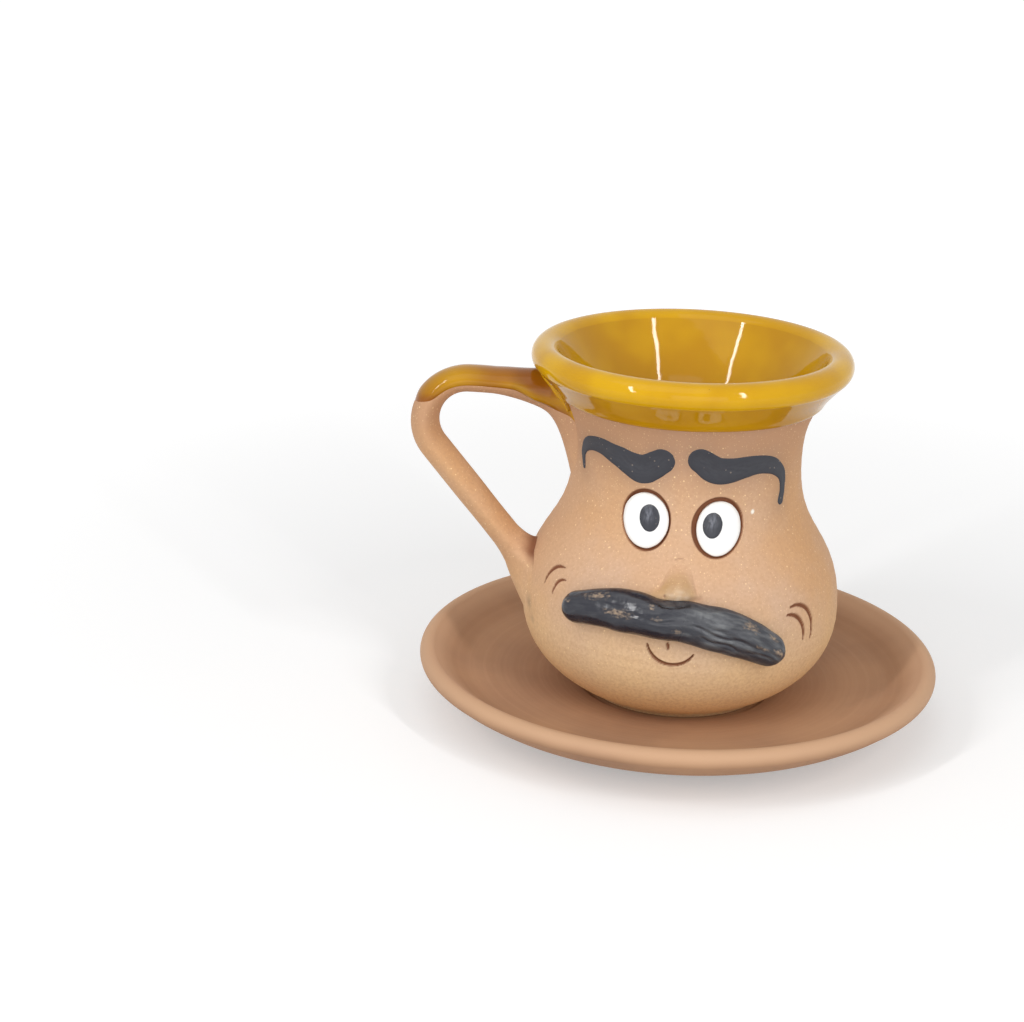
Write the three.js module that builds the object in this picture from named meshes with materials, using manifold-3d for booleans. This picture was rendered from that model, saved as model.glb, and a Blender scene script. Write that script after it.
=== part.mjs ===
// Clay coffee cup with a comic moustached face, standing on its saucer.
// Millimetres, +Z up. The origin is the middle of the saucer's flat base.
// The face looks along -Y and the handle points along -X.

import * as THREE from "three";
import { mergeVertices } from "three/addons/utils/BufferGeometryUtils.js";
import Module from "manifold-3d";

const wasm = await Module();
wasm.setup();

const degrees = THREE.MathUtils.degToRad;

// Driving dimensions

// Saucer: one thrown dish with a ring well for the cup's foot
const SAUCER_DIAMETER = 118;
const SAUCER_HEIGHT = 14.5;
const SAUCER_BASE_DIAMETER = 66;
const SAUCER_LIP_RADIUS = 2.1;
const SAUCER_FLOOR = 6; // height of the dish's surface at the edge of the well
const SAUCER_CONE_RISE = 3; // climb of that surface from the well to the cove under the lip
const SAUCER_COVE_WIDTH = 8;
const WELL_CLEARANCE = 1.5; // from the cup's foot to the well's wall
const WELL_DEPTH = 0.8;
const WELL_SLOPE = 1; // width of the step down into the well

// Cup: one thrown pot. Heights are above its foot
const FOOT_DIAMETER = 40;
const FOOT_BEVEL = 0.8;
const BELLY_DIAMETER = 71.5;
const BELLY_HEIGHT = 21;
const NECK_DIAMETER = 51.8;
const NECK_HEIGHT = 56;
const RIM_DIAMETER = 70;
const CUP_HEIGHT = 80;
const LIP_RADIUS = 2.6;
const LIP_OUTER_ANGLE = degrees(-50); // where the bead leaves the flare, round from the outside
const LIP_INNER_ANGLE = degrees(152); // and where it runs on smoothly into the inside
const WALL = 3.2;
const CUP_FLOOR = 4.5;

// How full the curves of the pot's side are, as shares of each curve's own height or width
const FOOT_CURVE = { out: 0.58, up: 0.24 };
const FLOOR_CURVE = { out: 0.78 };
const BELLY_CURVE = { below: 0.48, above: 0.51 };
const NECK_CURVE = { below: 0.54, above: 0.42 };
const FLARE_CURVE = { out: 0.34, up: 0.56 };

// Glaze: one coat over the inside, the rim, a band below it and the top of the handle
const GLAZE_THICKNESS = 0.5;
const GLAZE_DROP = 11; // the band's lower edge, below the top of the rim
const HANDLE_GLAZE_SPREAD = degrees(205); // how far the coat wraps round the strap
const HANDLE_GLAZE_BEND = degrees(75); // how far round the bend it runs

// Handle: a pulled strap, with a bar from under the rim, a round bend and a straight run to the belly
const HANDLE_REACH = 58.7; // from the cup's axis to the middle of the strap
const HANDLE_TOP_DROP = 9; // the bar's middle at its highest, below the top of the rim
const HANDLE_ROOT_DROP = 13; // where the bar leaves the pot, below the top of the rim
const HANDLE_BEND_RADIUS = 9.5;
const HANDLE_FOOT_HEIGHT = 27; // where the straight run meets the belly
const HANDLE_WIDTH = 9;
const HANDLE_BAR_THICKNESS = 5.4;
const HANDLE_RUN_THICKNESS = 7.2;
const HANDLE_ROOT_WIDTH = 15; // the strap spreads where it is pressed on to the pot
const HANDLE_ROOT_THICKNESS = 9;
const HANDLE_FOOT_WIDTH = 11;
const HANDLE_FOOT_THICKNESS = 12;
const HANDLE_SPREAD_LENGTH = 11;
const HANDLE_FILLET_DROP = 23.5; // the bar's underside is drawn out this far down the pot
const HANDLE_FILLET_LENGTH = 13; // and it starts to turn down this far from the root
const HANDLE_TURN = degrees(4); // the strap stands this far round towards the face

// Face. A place on it is [length round the pot from the middle, drop below the glaze's edge]
const EYE_POCKET_DEPTH = 1;
const EYE_OUTLINE = 0.7; // width of the incised line left round the white
const EYE_WHITE_THICKNESS = 0.7;
const EYES = {
  left: { place: [-8.3, 21.1], halfSize: [5.6, 6.4], pupilPlace: [-7.4, 20.8], pupilHalfSize: [2.3, 2.9] },
  right: { place: [7.6, 21.9], halfSize: [5.8, 6.3], pupilPlace: [6.4, 21.6], pupilHalfSize: [2.2, 2.7] },
};

// Brows: brush strokes of [across, drop, half the stroke's width], from the tail to the bulb
const PAINT_THICKNESS = 0.4;
const BROWS = {
  left: [
    [-27, 14, 0.5],
    [-27.6, 10.9, 1.1],
    [-25.6, 8.3, 1.7],
    [-21, 7.4, 2],
    [-15.6, 8.6, 2.6],
    [-9.6, 10.3, 3.4],
    [-5.3, 8, 3],
  ],
  right: [
    [24, 18.4, 1],
    [24.5, 15.4, 1],
    [23.7, 12.3, 1.5],
    [20.2, 9.8, 2],
    [15.2, 9, 2.4],
    [7.4, 9.7, 3.2],
    [3, 7.2, 2.9],
  ],
};

// Incised lines: arcs about a centre, from one angle to another
const GROOVE_DEPTH = 0.8;
const GROOVE_WIDTH = 0.8;
const GROOVES = [
  { centre: [-0.9, 44.6], radius: 5.5, from: degrees(192), to: degrees(327) },
  { centre: [-28.5, 42.4], radius: 7.7, from: degrees(92), to: degrees(160) },
  { centre: [-27.5, 41.4], radius: 4.5, from: degrees(95), to: degrees(172) },
  { centre: [27.8, 45.5], radius: 6.2, from: degrees(-23), to: degrees(102) },
  { centre: [25.6, 46.4], radius: 5.5, from: degrees(-10), to: degrees(90) },
  { centre: [-4.2, 46], radius: 2.4, from: degrees(-14), to: degrees(22) },
];

// Nose: a drop of clay, widest near its lower end
const NOSE_PLACE = [-1.5, 33.6];
const NOSE_WIDTH = 7.4;
const NOSE_LENGTH = 8.4;
const NOSE_BULGE = 2.7;
const NOSE_CURVE = { low: 0.78, high: 0.5 }; // how full each end is, as a share of the width

// Moustache: a roll of clay of [across, drop, half its height], pressed on across the belly
const MOUSTACHE_BULGE = 4.6;
const MOUSTACHE_LIFT = 1.4; // the roll's middle stands this far out of the wall
const MOUSTACHE_END_LENGTH = 3.2; // each end is rounded over this length
const MOUSTACHE_END_ROUNDNESS = degrees(72); // a right angle would round the ends to a point
const MOUSTACHE = [
  [-26, 41.9, 3.3],
  [-18.6, 39.9, 3.9],
  [-9.8, 39.2, 4.7],
  [-4.4, 40, 4.3],
  [0.8, 39.9, 4.4],
  [6.8, 41.3, 4.8],
  [13, 43.2, 4.6],
  [18.8, 46.2, 3.9],
  [23.6, 48.7, 3],
];

// Clearances
const COAT_GAP = 0.2; // between a coat and the clay under it
const LUTE_GAP = 0.3; // between two pieces of clay that are pressed together
const STANDING_GAP = 0.2; // between the cup's foot and the well

// Facets
const ROUND_STEPS = 40; // round a thrown piece
const OUTER_STEPS = 6; // along each curve of the pot's outside
const INNER_STEPS = 4; // along each curve of its inside
const LIP_STEPS = 5; // round a lip
const STRAP_SIDES = 14; // round the handle
const ROLL_SIDES = 12; // round the moustache
const BAR_STEPS = 8; // along the handle's bar
const BAR_CROWDING = 1.5; // how much closer together they are at its root
const BEND_STEPS = 10; // round its bend
const RUN_STEPS = 5; // down its straight run
const STROKE_STEPS = 18; // along a brush stroke
const ROLL_STEPS = 22; // along the moustache
const GROOVE_STEPS = 8; // along an incised line
const CAP_STEPS = 5; // round a stroke's end
const OVAL_STEPS = 24; // round an eye
const DROP_STEPS = 10; // down the nose

// Worked-out sizes
const footRadius = FOOT_DIAMETER / 2;
const bellyRadius = BELLY_DIAMETER / 2;
const neckRadius = NECK_DIAMETER / 2;
const rimRadius = RIM_DIAMETER / 2;
const glazeEdge = CUP_HEIGHT - GLAZE_DROP;
const wellRadius = footRadius + WELL_CLEARANCE;
const wellFloor = SAUCER_FLOOR - WELL_DEPTH;

// Materials

const clay = new THREE.MeshStandardMaterial({ color: 0xcf9868, roughness: 0.85, metalness: 0 });
const saucerClay = new THREE.MeshStandardMaterial({ color: 0xa87858, roughness: 0.9, metalness: 0 });
const mustardGlaze = new THREE.MeshStandardMaterial({ color: 0xc8930f, roughness: 0.12, metalness: 0 });
const blackPaint = new THREE.MeshStandardMaterial({ color: 0x3a3c44, roughness: 0.6, metalness: 0 });
const whitePaint = new THREE.MeshStandardMaterial({ color: 0xf6f6f4, roughness: 0.5, metalness: 0 });

// Solids

const at = (x, y) => new THREE.Vector2(x, y);

function solidOf(geometry) {
  const bare = geometry.clone();
  bare.deleteAttribute("normal");
  bare.deleteAttribute("uv");
  const merged = mergeVertices(bare, 1e-4);
  const mesh = new wasm.Mesh({
    numProp: 3,
    vertProperties: new Float32Array(merged.attributes.position.array),
    triVerts: new Uint32Array(merged.index.array),
  });
  return new wasm.Manifold(mesh);
}

function meshOf(name, solid, material) {
  const { vertProperties, triVerts } = solid.getMesh();
  const geometry = new THREE.BufferGeometry();
  geometry.setAttribute("position", new THREE.BufferAttribute(vertProperties, 3));
  geometry.setIndex(new THREE.BufferAttribute(triVerts, 1));
  geometry.computeVertexNormals();
  const mesh = new THREE.Mesh(geometry, material);
  mesh.name = name;
  return mesh;
}

// A profile of (radius, height) points, anticlockwise, turned about the Z axis.
function turned(profile) {
  return solidOf(new THREE.LatheGeometry(profile, ROUND_STEPS).rotateX(Math.PI / 2));
}

// A profile moved to the right of its direction of travel. Points on the axis stay on it.
function offsetProfile(profile, distance) {
  return profile.map((point, i) => {
    const before = profile[Math.max(i - 1, 0)];
    const after = profile[Math.min(i + 1, profile.length - 1)];
    const along = after.clone().sub(before).normalize();
    if (point.x === 0) return at(0, point.y - Math.sign(along.x) * distance);
    return at(point.x + along.y * distance, point.y - along.x * distance);
  });
}

// Rings of points joined one to the next, anticlockwise about their direction of travel.
function lofted(rings) {
  const sides = rings[0].length;
  const points = rings.flat();
  const index = [];
  const sideOf = (ring, j) => ring * sides + (j % sides);
  const last = rings.length - 1;
  for (let j = 0; j < sides; j++) {
    for (let i = 0; i < last; i++) {
      index.push(sideOf(i, j), sideOf(i, j + 1), sideOf(i + 1, j + 1));
      index.push(sideOf(i, j), sideOf(i + 1, j + 1), sideOf(i + 1, j));
    }
    index.push(sideOf(0, j + 1), sideOf(0, j), points.length);
    index.push(sideOf(last, j), sideOf(last, j + 1), points.length + 1);
  }
  const middleOf = (ring) => ring.reduce((sum, p) => sum.add(p), new THREE.Vector3()).divideScalar(sides);
  points.push(middleOf(rings[0]), middleOf(rings[last]));
  const geometry = new THREE.BufferGeometry().setFromPoints(points);
  geometry.setIndex(index);
  return solidOf(geometry);
}

// Saucer

function makeSaucer() {
  const lipMiddle = at(SAUCER_DIAMETER / 2 - SAUCER_LIP_RADIUS, SAUCER_HEIGHT - SAUCER_LIP_RADIUS);
  const lipOutside = lipMiddle.x + SAUCER_LIP_RADIUS;
  const lipInside = lipMiddle.x - SAUCER_LIP_RADIUS;
  const coneTop = SAUCER_FLOOR + SAUCER_CONE_RISE;
  const outline = new THREE.Path();
  outline.moveTo(0, 0);
  outline.lineTo(SAUCER_BASE_DIAMETER / 2, 0);
  outline.quadraticCurveTo(lipMiddle.x, SAUCER_LIP_RADIUS, lipOutside, lipMiddle.y);
  outline.absarc(lipMiddle.x, lipMiddle.y, SAUCER_LIP_RADIUS, 0, Math.PI);
  outline.quadraticCurveTo(lipInside, coneTop, lipInside - SAUCER_COVE_WIDTH, coneTop);
  outline.lineTo(wellRadius + WELL_SLOPE, SAUCER_FLOOR);
  outline.lineTo(wellRadius, wellFloor);
  outline.lineTo(0, wellFloor);
  return turned(outline.getPoints(LIP_STEPS));
}

// Cup

function lipPoint(angle) {
  return at(
    rimRadius + LIP_RADIUS * (Math.cos(angle) - 1),
    CUP_HEIGHT + LIP_RADIUS * (Math.sin(angle) - 1),
  );
}

// The pot's side from its foot or floor up to the lip, moved in from the outside by an inset.
function wallCurve(start, pull, inset, lipEnd, steps) {
  const belly = bellyRadius - inset;
  const neck = neckRadius - inset;
  const waist = NECK_HEIGHT - BELLY_HEIGHT;
  const flare = CUP_HEIGHT - NECK_HEIGHT;
  const curve = new THREE.Path();
  curve.moveTo(start.x, start.y);
  curve.bezierCurveTo(pull.x, pull.y, belly, BELLY_HEIGHT * (1 - BELLY_CURVE.below), belly, BELLY_HEIGHT);
  curve.bezierCurveTo(
    belly, BELLY_HEIGHT + waist * BELLY_CURVE.above,
    neck, NECK_HEIGHT - waist * NECK_CURVE.below,
    neck, NECK_HEIGHT,
  );
  curve.bezierCurveTo(
    neck, NECK_HEIGHT + flare * NECK_CURVE.above,
    neck + (lipEnd.x - neck) * FLARE_CURVE.out, NECK_HEIGHT + flare * FLARE_CURVE.up,
    lipEnd.x, lipEnd.y,
  );
  return curve.getPoints(steps);
}

const outerWall = wallCurve(
  at(footRadius + FOOT_BEVEL, FOOT_BEVEL),
  at(footRadius + (bellyRadius - footRadius) * FOOT_CURVE.out, BELLY_HEIGHT * FOOT_CURVE.up),
  0,
  lipPoint(LIP_OUTER_ANGLE),
  OUTER_STEPS,
);
const innerWall = wallCurve(
  at(0, CUP_FLOOR),
  at((bellyRadius - WALL) * FLOOR_CURVE.out, CUP_FLOOR),
  WALL,
  lipPoint(LIP_INNER_ANGLE),
  INNER_STEPS,
).reverse();
const lip = [];
for (let i = 1; i < LIP_STEPS; i++) {
  lip.push(lipPoint(THREE.MathUtils.lerp(LIP_OUTER_ANGLE, LIP_INNER_ANGLE, i / LIP_STEPS)));
}

// The pot without its hollow, grown by a clearance.
function solidPot(clearance) {
  const side = offsetProfile(outerWall, clearance);
  const top = side[side.length - 1].y;
  return turned([at(0, side[0].y), ...side, at(0, top)]);
}

// The layer over the pot's side between two distances from it.
function wallLayer(from, to) {
  const outside = offsetProfile(outerWall, to);
  const inside = offsetProfile(outerWall, from).reverse();
  return turned([...outside, ...inside, outside[0]]);
}

function wallRadius(height) {
  const above = outerWall.findIndex((point, i) => i > 0 && point.y > height);
  const upper = above < 0 ? outerWall.length - 1 : above;
  const [a, b] = [outerWall[upper - 1], outerWall[upper]];
  return THREE.MathUtils.mapLinear(height, a.y, b.y, a.x, b.x);
}

// Face layout

// A place on the face: its point on the pot's side, and the ways out of the wall, round it and up it.
function faceFrame(across, drop) {
  const height = glazeEdge - drop;
  const radius = wallRadius(height);
  const step = GROOVE_WIDTH;
  const slope = (wallRadius(height + step) - wallRadius(height - step)) / (2 * step);
  const angle = across / radius;
  const level = new THREE.Vector3(Math.sin(angle), -Math.cos(angle), 0);
  const out = level.clone().setZ(-slope).normalize();
  const round = new THREE.Vector3(Math.cos(angle), Math.sin(angle), 0);
  const up = out.clone().cross(round);
  return { point: level.multiplyScalar(radius).setZ(height), out, round, up };
}

// An outline drawn on the face, as a solid that runs straight out through the pot's side.
function faceCutter(outline) {
  const geometry = new THREE.ExtrudeGeometry(outline, { depth: 1, bevelEnabled: false });
  const position = geometry.attributes.position;
  for (let i = 0; i < position.count; i++) {
    const height = glazeEdge + position.getY(i);
    const angle = position.getX(i) / wallRadius(height);
    const radius = position.getZ(i) > 0 ? 2 * bellyRadius : neckRadius / 2;
    position.setXYZ(i, radius * Math.sin(angle), -radius * Math.cos(angle), height);
  }
  return solidOf(geometry);
}

function ovalOutline([across, drop], [halfWidth, halfHeight]) {
  const points = [];
  for (let i = 0; i < OVAL_STEPS; i++) {
    const angle = (2 * Math.PI * i) / OVAL_STEPS;
    points.push(at(across + halfWidth * Math.cos(angle), halfHeight * Math.sin(angle) - drop));
  }
  return new THREE.Shape(points);
}

// A stroke of changing width through [across, drop, half width], with round ends.
function strokeOutline(stations, steps) {
  const middle = stations.map(([across, drop, half]) => new THREE.Vector3(across, -drop, half));
  const curve = new THREE.CatmullRomCurve3(middle);
  const edgePoint = (share, turn) => {
    const { x, y, z: half } = curve.getPoint(share);
    const ahead = curve.getTangent(share);
    const angle = Math.atan2(ahead.y, ahead.x) + turn;
    return at(x + half * Math.cos(angle), y + half * Math.sin(angle));
  };
  const right = [];
  const left = [];
  for (let i = 0; i <= steps; i++) {
    right.push(edgePoint(i / steps, -Math.PI / 2));
    left.unshift(edgePoint(i / steps, Math.PI / 2));
  }
  const tip = [];
  const tail = [];
  for (let i = 1; i < CAP_STEPS; i++) {
    const turn = (Math.PI * i) / CAP_STEPS - Math.PI / 2;
    tip.push(edgePoint(1, turn));
    tail.push(edgePoint(0, turn + Math.PI));
  }
  return new THREE.Shape([...right, ...tip, ...left, ...tail]);
}

// An incised line of one width along an arc.
function grooveOutline({ centre: [across, drop], radius, from, to }) {
  const stations = [];
  for (let i = 0; i <= GROOVE_STEPS; i++) {
    const angle = THREE.MathUtils.lerp(from, to, i / GROOVE_STEPS);
    stations.push([across + radius * Math.cos(angle), drop - radius * Math.sin(angle), GROOVE_WIDTH / 2]);
  }
  return strokeOutline(stations, GROOVE_STEPS);
}

// A coat of paint on the pot's side.
function paint(outline, from, thickness) {
  return faceCutter(outline).intersect(wallLayer(from, from + thickness));
}

function pocket(outline, depth) {
  return faceCutter(outline).intersect(wallLayer(-depth, depth));
}

// Cup body, with the eye pockets and the incised lines

function makeCupBody() {
  let body = turned([at(0, 0), at(footRadius, 0), ...outerWall, ...lip, ...innerWall]);
  for (const { place, halfSize } of Object.values(EYES)) {
    body = body.subtract(pocket(ovalOutline(place, halfSize), EYE_POCKET_DEPTH));
  }
  for (const groove of GROOVES) {
    body = body.subtract(pocket(grooveOutline(groove), GROOVE_DEPTH));
  }
  return body;
}

function makeEyeWhite({ place, halfSize }) {
  const outline = ovalOutline(place, halfSize.map((half) => half - EYE_OUTLINE));
  return paint(outline, COAT_GAP - EYE_POCKET_DEPTH, EYE_WHITE_THICKNESS);
}

function makePupil({ pupilPlace, pupilHalfSize }) {
  const seat = COAT_GAP - EYE_POCKET_DEPTH + EYE_WHITE_THICKNESS;
  return paint(ovalOutline(pupilPlace, pupilHalfSize), seat + COAT_GAP, PAINT_THICKNESS);
}

function makeBrow(stations) {
  return paint(strokeOutline(stations, STROKE_STEPS), COAT_GAP, PAINT_THICKNESS);
}

// Moustache and nose

function moustacheRoll(clearance) {
  const curve = new THREE.CatmullRomCurve3(MOUSTACHE.map((station) => new THREE.Vector3(...station)));
  const length = curve.getLength();
  const rings = [];
  for (let i = 0; i <= ROLL_STEPS; i++) {
    const share = (1 - Math.cos((Math.PI * i) / ROLL_STEPS)) / 2;
    const { x: across, y: drop, z: half } = curve.getPointAt(share);
    const ahead = curve.getTangentAt(share);
    const { point, out, round, up } = faceFrame(across, drop);
    const travel = round.clone().multiplyScalar(ahead.x).addScaledVector(up, -ahead.y).normalize();
    const aside = out.clone().cross(travel);
    const toEnd = Math.min(share, 1 - share) * length;
    const nearEnd = Math.max(1 - toEnd / MOUSTACHE_END_LENGTH, 0) * Math.sin(MOUSTACHE_END_ROUNDNESS);
    const fullness = Math.sqrt(1 - nearEnd * nearEnd);
    const halfHeight = half * fullness + clearance;
    const halfDepth = (MOUSTACHE_BULGE - MOUSTACHE_LIFT) * fullness + clearance;
    const middle = point.addScaledVector(out, MOUSTACHE_LIFT);
    const ring = [];
    for (let j = 0; j < ROLL_SIDES; j++) {
      const angle = (2 * Math.PI * j) / ROLL_SIDES;
      const side = middle.clone().addScaledVector(aside, halfHeight * Math.cos(angle));
      ring.push(side.addScaledVector(out, halfDepth * Math.sin(angle)));
    }
    rings.push(ring);
  }
  return lofted(rings);
}

function makeMoustache() {
  return moustacheRoll(0).subtract(solidPot(LUTE_GAP));
}

function makeNose() {
  const half = NOSE_LENGTH / 2;
  const side = new THREE.Path();
  side.moveTo(0, -half);
  side.bezierCurveTo(NOSE_WIDTH * NOSE_CURVE.low, -half, NOSE_WIDTH * NOSE_CURVE.high, half, 0, half);
  const drop = new THREE.LatheGeometry(side.getPoints(DROP_STEPS), ROLL_SIDES);
  const { point, out, round, up } = faceFrame(...NOSE_PLACE);
  drop.scale(1, 1, (2 * NOSE_BULGE) / NOSE_WIDTH);
  drop.applyMatrix4(new THREE.Matrix4().makeBasis(round, up, out).setPosition(point));
  return solidOf(drop).subtract(solidPot(LUTE_GAP)).subtract(moustacheRoll(LUTE_GAP));
}

// Handle

// The strap's middle line in (reach, height): the bar, the bend as far as an angle, and the run.
function strapCurves() {
  const rootHeight = CUP_HEIGHT - HANDLE_ROOT_DROP;
  const root = at(neckRadius - WALL / 2, rootHeight);
  const foot = at(wallRadius(HANDLE_FOOT_HEIGHT) - WALL / 2, HANDLE_FOOT_HEIGHT);
  const top = at(HANDLE_REACH - HANDLE_BEND_RADIUS, CUP_HEIGHT - HANDLE_TOP_DROP);
  const centre = at(top.x, top.y - HANDLE_BEND_RADIUS);
  const toFoot = foot.clone().sub(centre);
  const leaving = toFoot.angle() - 2 * Math.PI + Math.acos(HANDLE_BEND_RADIUS / toFoot.length());
  const bendTo = (angle) =>
    new THREE.EllipseCurve(
      centre.x, centre.y, HANDLE_BEND_RADIUS, HANDLE_BEND_RADIUS, Math.PI / 2, angle, true,
    );
  const bend = bendTo(leaving);
  return {
    bar: new THREE.QuadraticBezierCurve(root, at((root.x + top.x) / 2, top.y), top),
    bend,
    glazedBend: bendTo(Math.PI / 2 - HANDLE_GLAZE_BEND),
    run: new THREE.LineCurve(bend.getPoint(1), foot),
  };
}

// Stations along the strap: the middle, the way out of the bend, the underside's drop
// and half the section's size.
function strapStations(stretches) {
  const { bar, bend, run } = strapCurves();
  const bendStart = bar.getLength();
  const runStart = bendStart + bend.getLength();
  const footAt = runStart + run.getLength();
  const nearness = (distance) => Math.max(1 - distance / HANDLE_SPREAD_LENGTH, 0) ** 2;
  const turnedDown = (distance) => Math.max(1 - distance / HANDLE_FILLET_LENGTH, 0) ** 3;
  const stations = [];
  let passed = 0;
  for (const [curve, steps, crowding] of stretches) {
    for (let i = stations.length ? 1 : 0; i <= steps; i++) {
      const share = (i / steps) ** crowding;
      const ahead = curve.getTangentAt(share);
      const travelled = passed + curve.getLength() * share;
      const root = nearness(travelled);
      const foot = nearness(footAt - travelled);
      const round = THREE.MathUtils.smoothstep(travelled, bendStart, runStart);
      const strapThickness = THREE.MathUtils.lerp(HANDLE_BAR_THICKNESS, HANDLE_RUN_THICKNESS, round);
      const spread = (middle, rootSize, footSize) =>
        middle + root * (rootSize - middle) + foot * (footSize - middle);
      stations.push({
        middle: curve.getPointAt(share),
        out: at(-ahead.y, ahead.x),
        fillet: HANDLE_FILLET_DROP * turnedDown(travelled),
        halfWidth: spread(HANDLE_WIDTH, HANDLE_ROOT_WIDTH, HANDLE_FOOT_WIDTH) / 2,
        halfThickness: spread(strapThickness, HANDLE_ROOT_THICKNESS, HANDLE_FOOT_THICKNESS) / 2,
      });
    }
    passed += curve.getLength();
  }
  return stations;
}

// A point on the strap's oval section, grown by a clearance. A quarter turn is the outside of the bend.
function strapPoint({ middle, out, fillet, halfWidth, halfThickness }, angle, clearance) {
  const aside = (halfWidth + clearance) * Math.cos(angle);
  const outward = (halfThickness + clearance) * Math.sin(angle);
  const reach = middle.x + out.x * outward;
  const height = middle.y + out.y * outward + fillet * Math.min(Math.sin(angle), 0);
  const away = new THREE.Vector3(-Math.cos(HANDLE_TURN), -Math.sin(HANDLE_TURN), 0);
  const sideways = new THREE.Vector3(0, 0, 1).cross(away);
  return away.multiplyScalar(reach).addScaledVector(sideways, aside).setZ(height);
}

function strap(clearance) {
  const { bar, bend, run } = strapCurves();
  const stations = strapStations([
    [bar, BAR_STEPS, BAR_CROWDING],
    [bend, BEND_STEPS, 1],
    [run, RUN_STEPS, 1],
  ]);
  const sides = Array.from({ length: STRAP_SIDES }, (_, j) => (2 * Math.PI * j) / STRAP_SIDES);
  return lofted(stations.map((station) => sides.map((angle) => strapPoint(station, angle, clearance))));
}

function makeHandle() {
  return strap(0).subtract(solidPot(LUTE_GAP));
}

// Glaze

function makeGlaze() {
  const bandFoot = at(wallRadius(glazeEdge), glazeEdge);
  const band = outerWall.filter((point) => point.y > glazeEdge);
  const line = [bandFoot, ...band, ...lip, ...innerWall];
  const faceOut = COAT_GAP + GLAZE_THICKNESS;
  const cupCoat = turned([...offsetProfile(line, COAT_GAP).reverse(), ...offsetProfile(line, faceOut)]);

  const { bar, glazedBend } = strapCurves();
  const stations = strapStations([
    [bar, BAR_STEPS, BAR_CROWDING],
    [glazedBend, BEND_STEPS, 1],
  ]);
  const spread = Array.from({ length: STRAP_SIDES }, (_, j) => j / (STRAP_SIDES - 1) - 0.5);
  const rings = stations.map((station) =>
    spread.map((share) => strapPoint(station, Math.PI / 2 + share * HANDLE_GLAZE_SPREAD, faceOut)),
  );
  const strapCoat = lofted(rings).subtract(solidPot(COAT_GAP + GLAZE_THICKNESS / 2));
  const strapOutside = strap(COAT_GAP).subtract(solidPot(0));
  return cupCoat.add(strapCoat).subtract(strapOutside);
}

// Assembly

const cup = new THREE.Group();
cup.position.z = wellFloor + STANDING_GAP;
cup.add(
  meshOf("cup_body", makeCupBody(), clay),
  meshOf("handle", makeHandle(), clay),
  meshOf("glaze", makeGlaze(), mustardGlaze),
  meshOf("nose", makeNose(), clay),
  meshOf("moustache", makeMoustache(), blackPaint),
);
for (const side of ["left", "right"]) {
  cup.add(
    meshOf(`eye_white_${side}`, makeEyeWhite(EYES[side]), whitePaint),
    meshOf(`pupil_${side}`, makePupil(EYES[side]), blackPaint),
    meshOf(`brow_${side}`, makeBrow(BROWS[side]), blackPaint),
  );
}

const set = new THREE.Group();
set.add(meshOf("saucer", makeSaucer(), saucerClay), cup);

export default set;
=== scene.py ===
"""Dress of a round-bellied clay coffee cup with a comic moustached face, standing on its saucer.

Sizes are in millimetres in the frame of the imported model: +Z is up, the face looks along -Y and the
handle points along -X. A mesh turns to metres when it is made.
"""

import logging
import math
from dataclasses import dataclass, field
from enum import Enum
from typing import Union

import bmesh
import bpy
import numpy as np
from mathutils import Matrix, Vector


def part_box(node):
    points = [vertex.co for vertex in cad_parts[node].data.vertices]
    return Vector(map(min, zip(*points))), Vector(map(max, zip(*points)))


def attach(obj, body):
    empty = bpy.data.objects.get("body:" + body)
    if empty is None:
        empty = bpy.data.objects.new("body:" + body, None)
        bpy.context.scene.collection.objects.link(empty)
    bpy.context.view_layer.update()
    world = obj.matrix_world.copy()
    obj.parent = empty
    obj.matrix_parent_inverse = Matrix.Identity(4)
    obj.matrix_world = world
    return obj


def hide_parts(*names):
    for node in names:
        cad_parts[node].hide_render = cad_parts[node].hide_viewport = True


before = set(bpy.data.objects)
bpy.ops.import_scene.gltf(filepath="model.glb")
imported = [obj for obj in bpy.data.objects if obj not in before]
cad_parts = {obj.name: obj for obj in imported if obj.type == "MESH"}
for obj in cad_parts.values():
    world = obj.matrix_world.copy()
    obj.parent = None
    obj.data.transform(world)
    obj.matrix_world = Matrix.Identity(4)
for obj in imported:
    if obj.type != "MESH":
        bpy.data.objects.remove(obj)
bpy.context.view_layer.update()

log = logging.getLogger("coffee_cup")

Array = np.ndarray
Pair = tuple[float, float]
Station = tuple[float, float, float]
Colour = tuple[float, float, float]
Operand = Union["Field", float]
Material = bpy.types.Material

MM = 0.001
FULL_TURN = 2 * math.pi
TINY = 1e-6


class Body(Enum):
    """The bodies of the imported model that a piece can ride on."""

    SAUCER = "saucer"
    CUP = "cup"


class Slot(Enum):
    """The material slots of the record."""

    SAUCER_CLAY = "saucer_clay"
    CUP_CLAY = "cup_clay"
    GLAZE = "mustard_glaze"
    BLACK = "black_paint"
    WHITE = "white_paint"


class Mark(Enum):
    """What a mesh tells its finish about each of its points."""

    INCISION_AND_SHADE = "incision"
    HAZE_AND_SHEEN = "haze"
    SPATTER = "spatter"
    OCHRE_AND_SHADE = "ochre_and_shade"
    THIN = "thin"
    WORN_AND_HIGHLIGHT = "worn"
    ALONG = "along"
    ROUND = "round"


# Plain helpers


def tone(red: int, green: int, blue: int) -> Colour:
    """Returns a screen colour of 0 to 255 in linear light."""
    shares = (red / 255, green / 255, blue / 255)
    return tuple(s / 12.92 if s <= 0.04045 else ((s + 0.055) / 1.055) ** 2.4 for s in shares)


def smooth_step(low: float, high: float, value: Array) -> Array:
    """Returns an S-shaped rise from 0 at low to 1 at high."""
    share = np.clip((value - low) / (high - low), 0.0, 1.0)
    return share * share * (3.0 - 2.0 * share)


def hump(distance: Array, width: float) -> Array:
    """Returns a round hump of height 1 that fades out over a width."""
    return np.exp(-((distance / width) ** 2))


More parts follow.
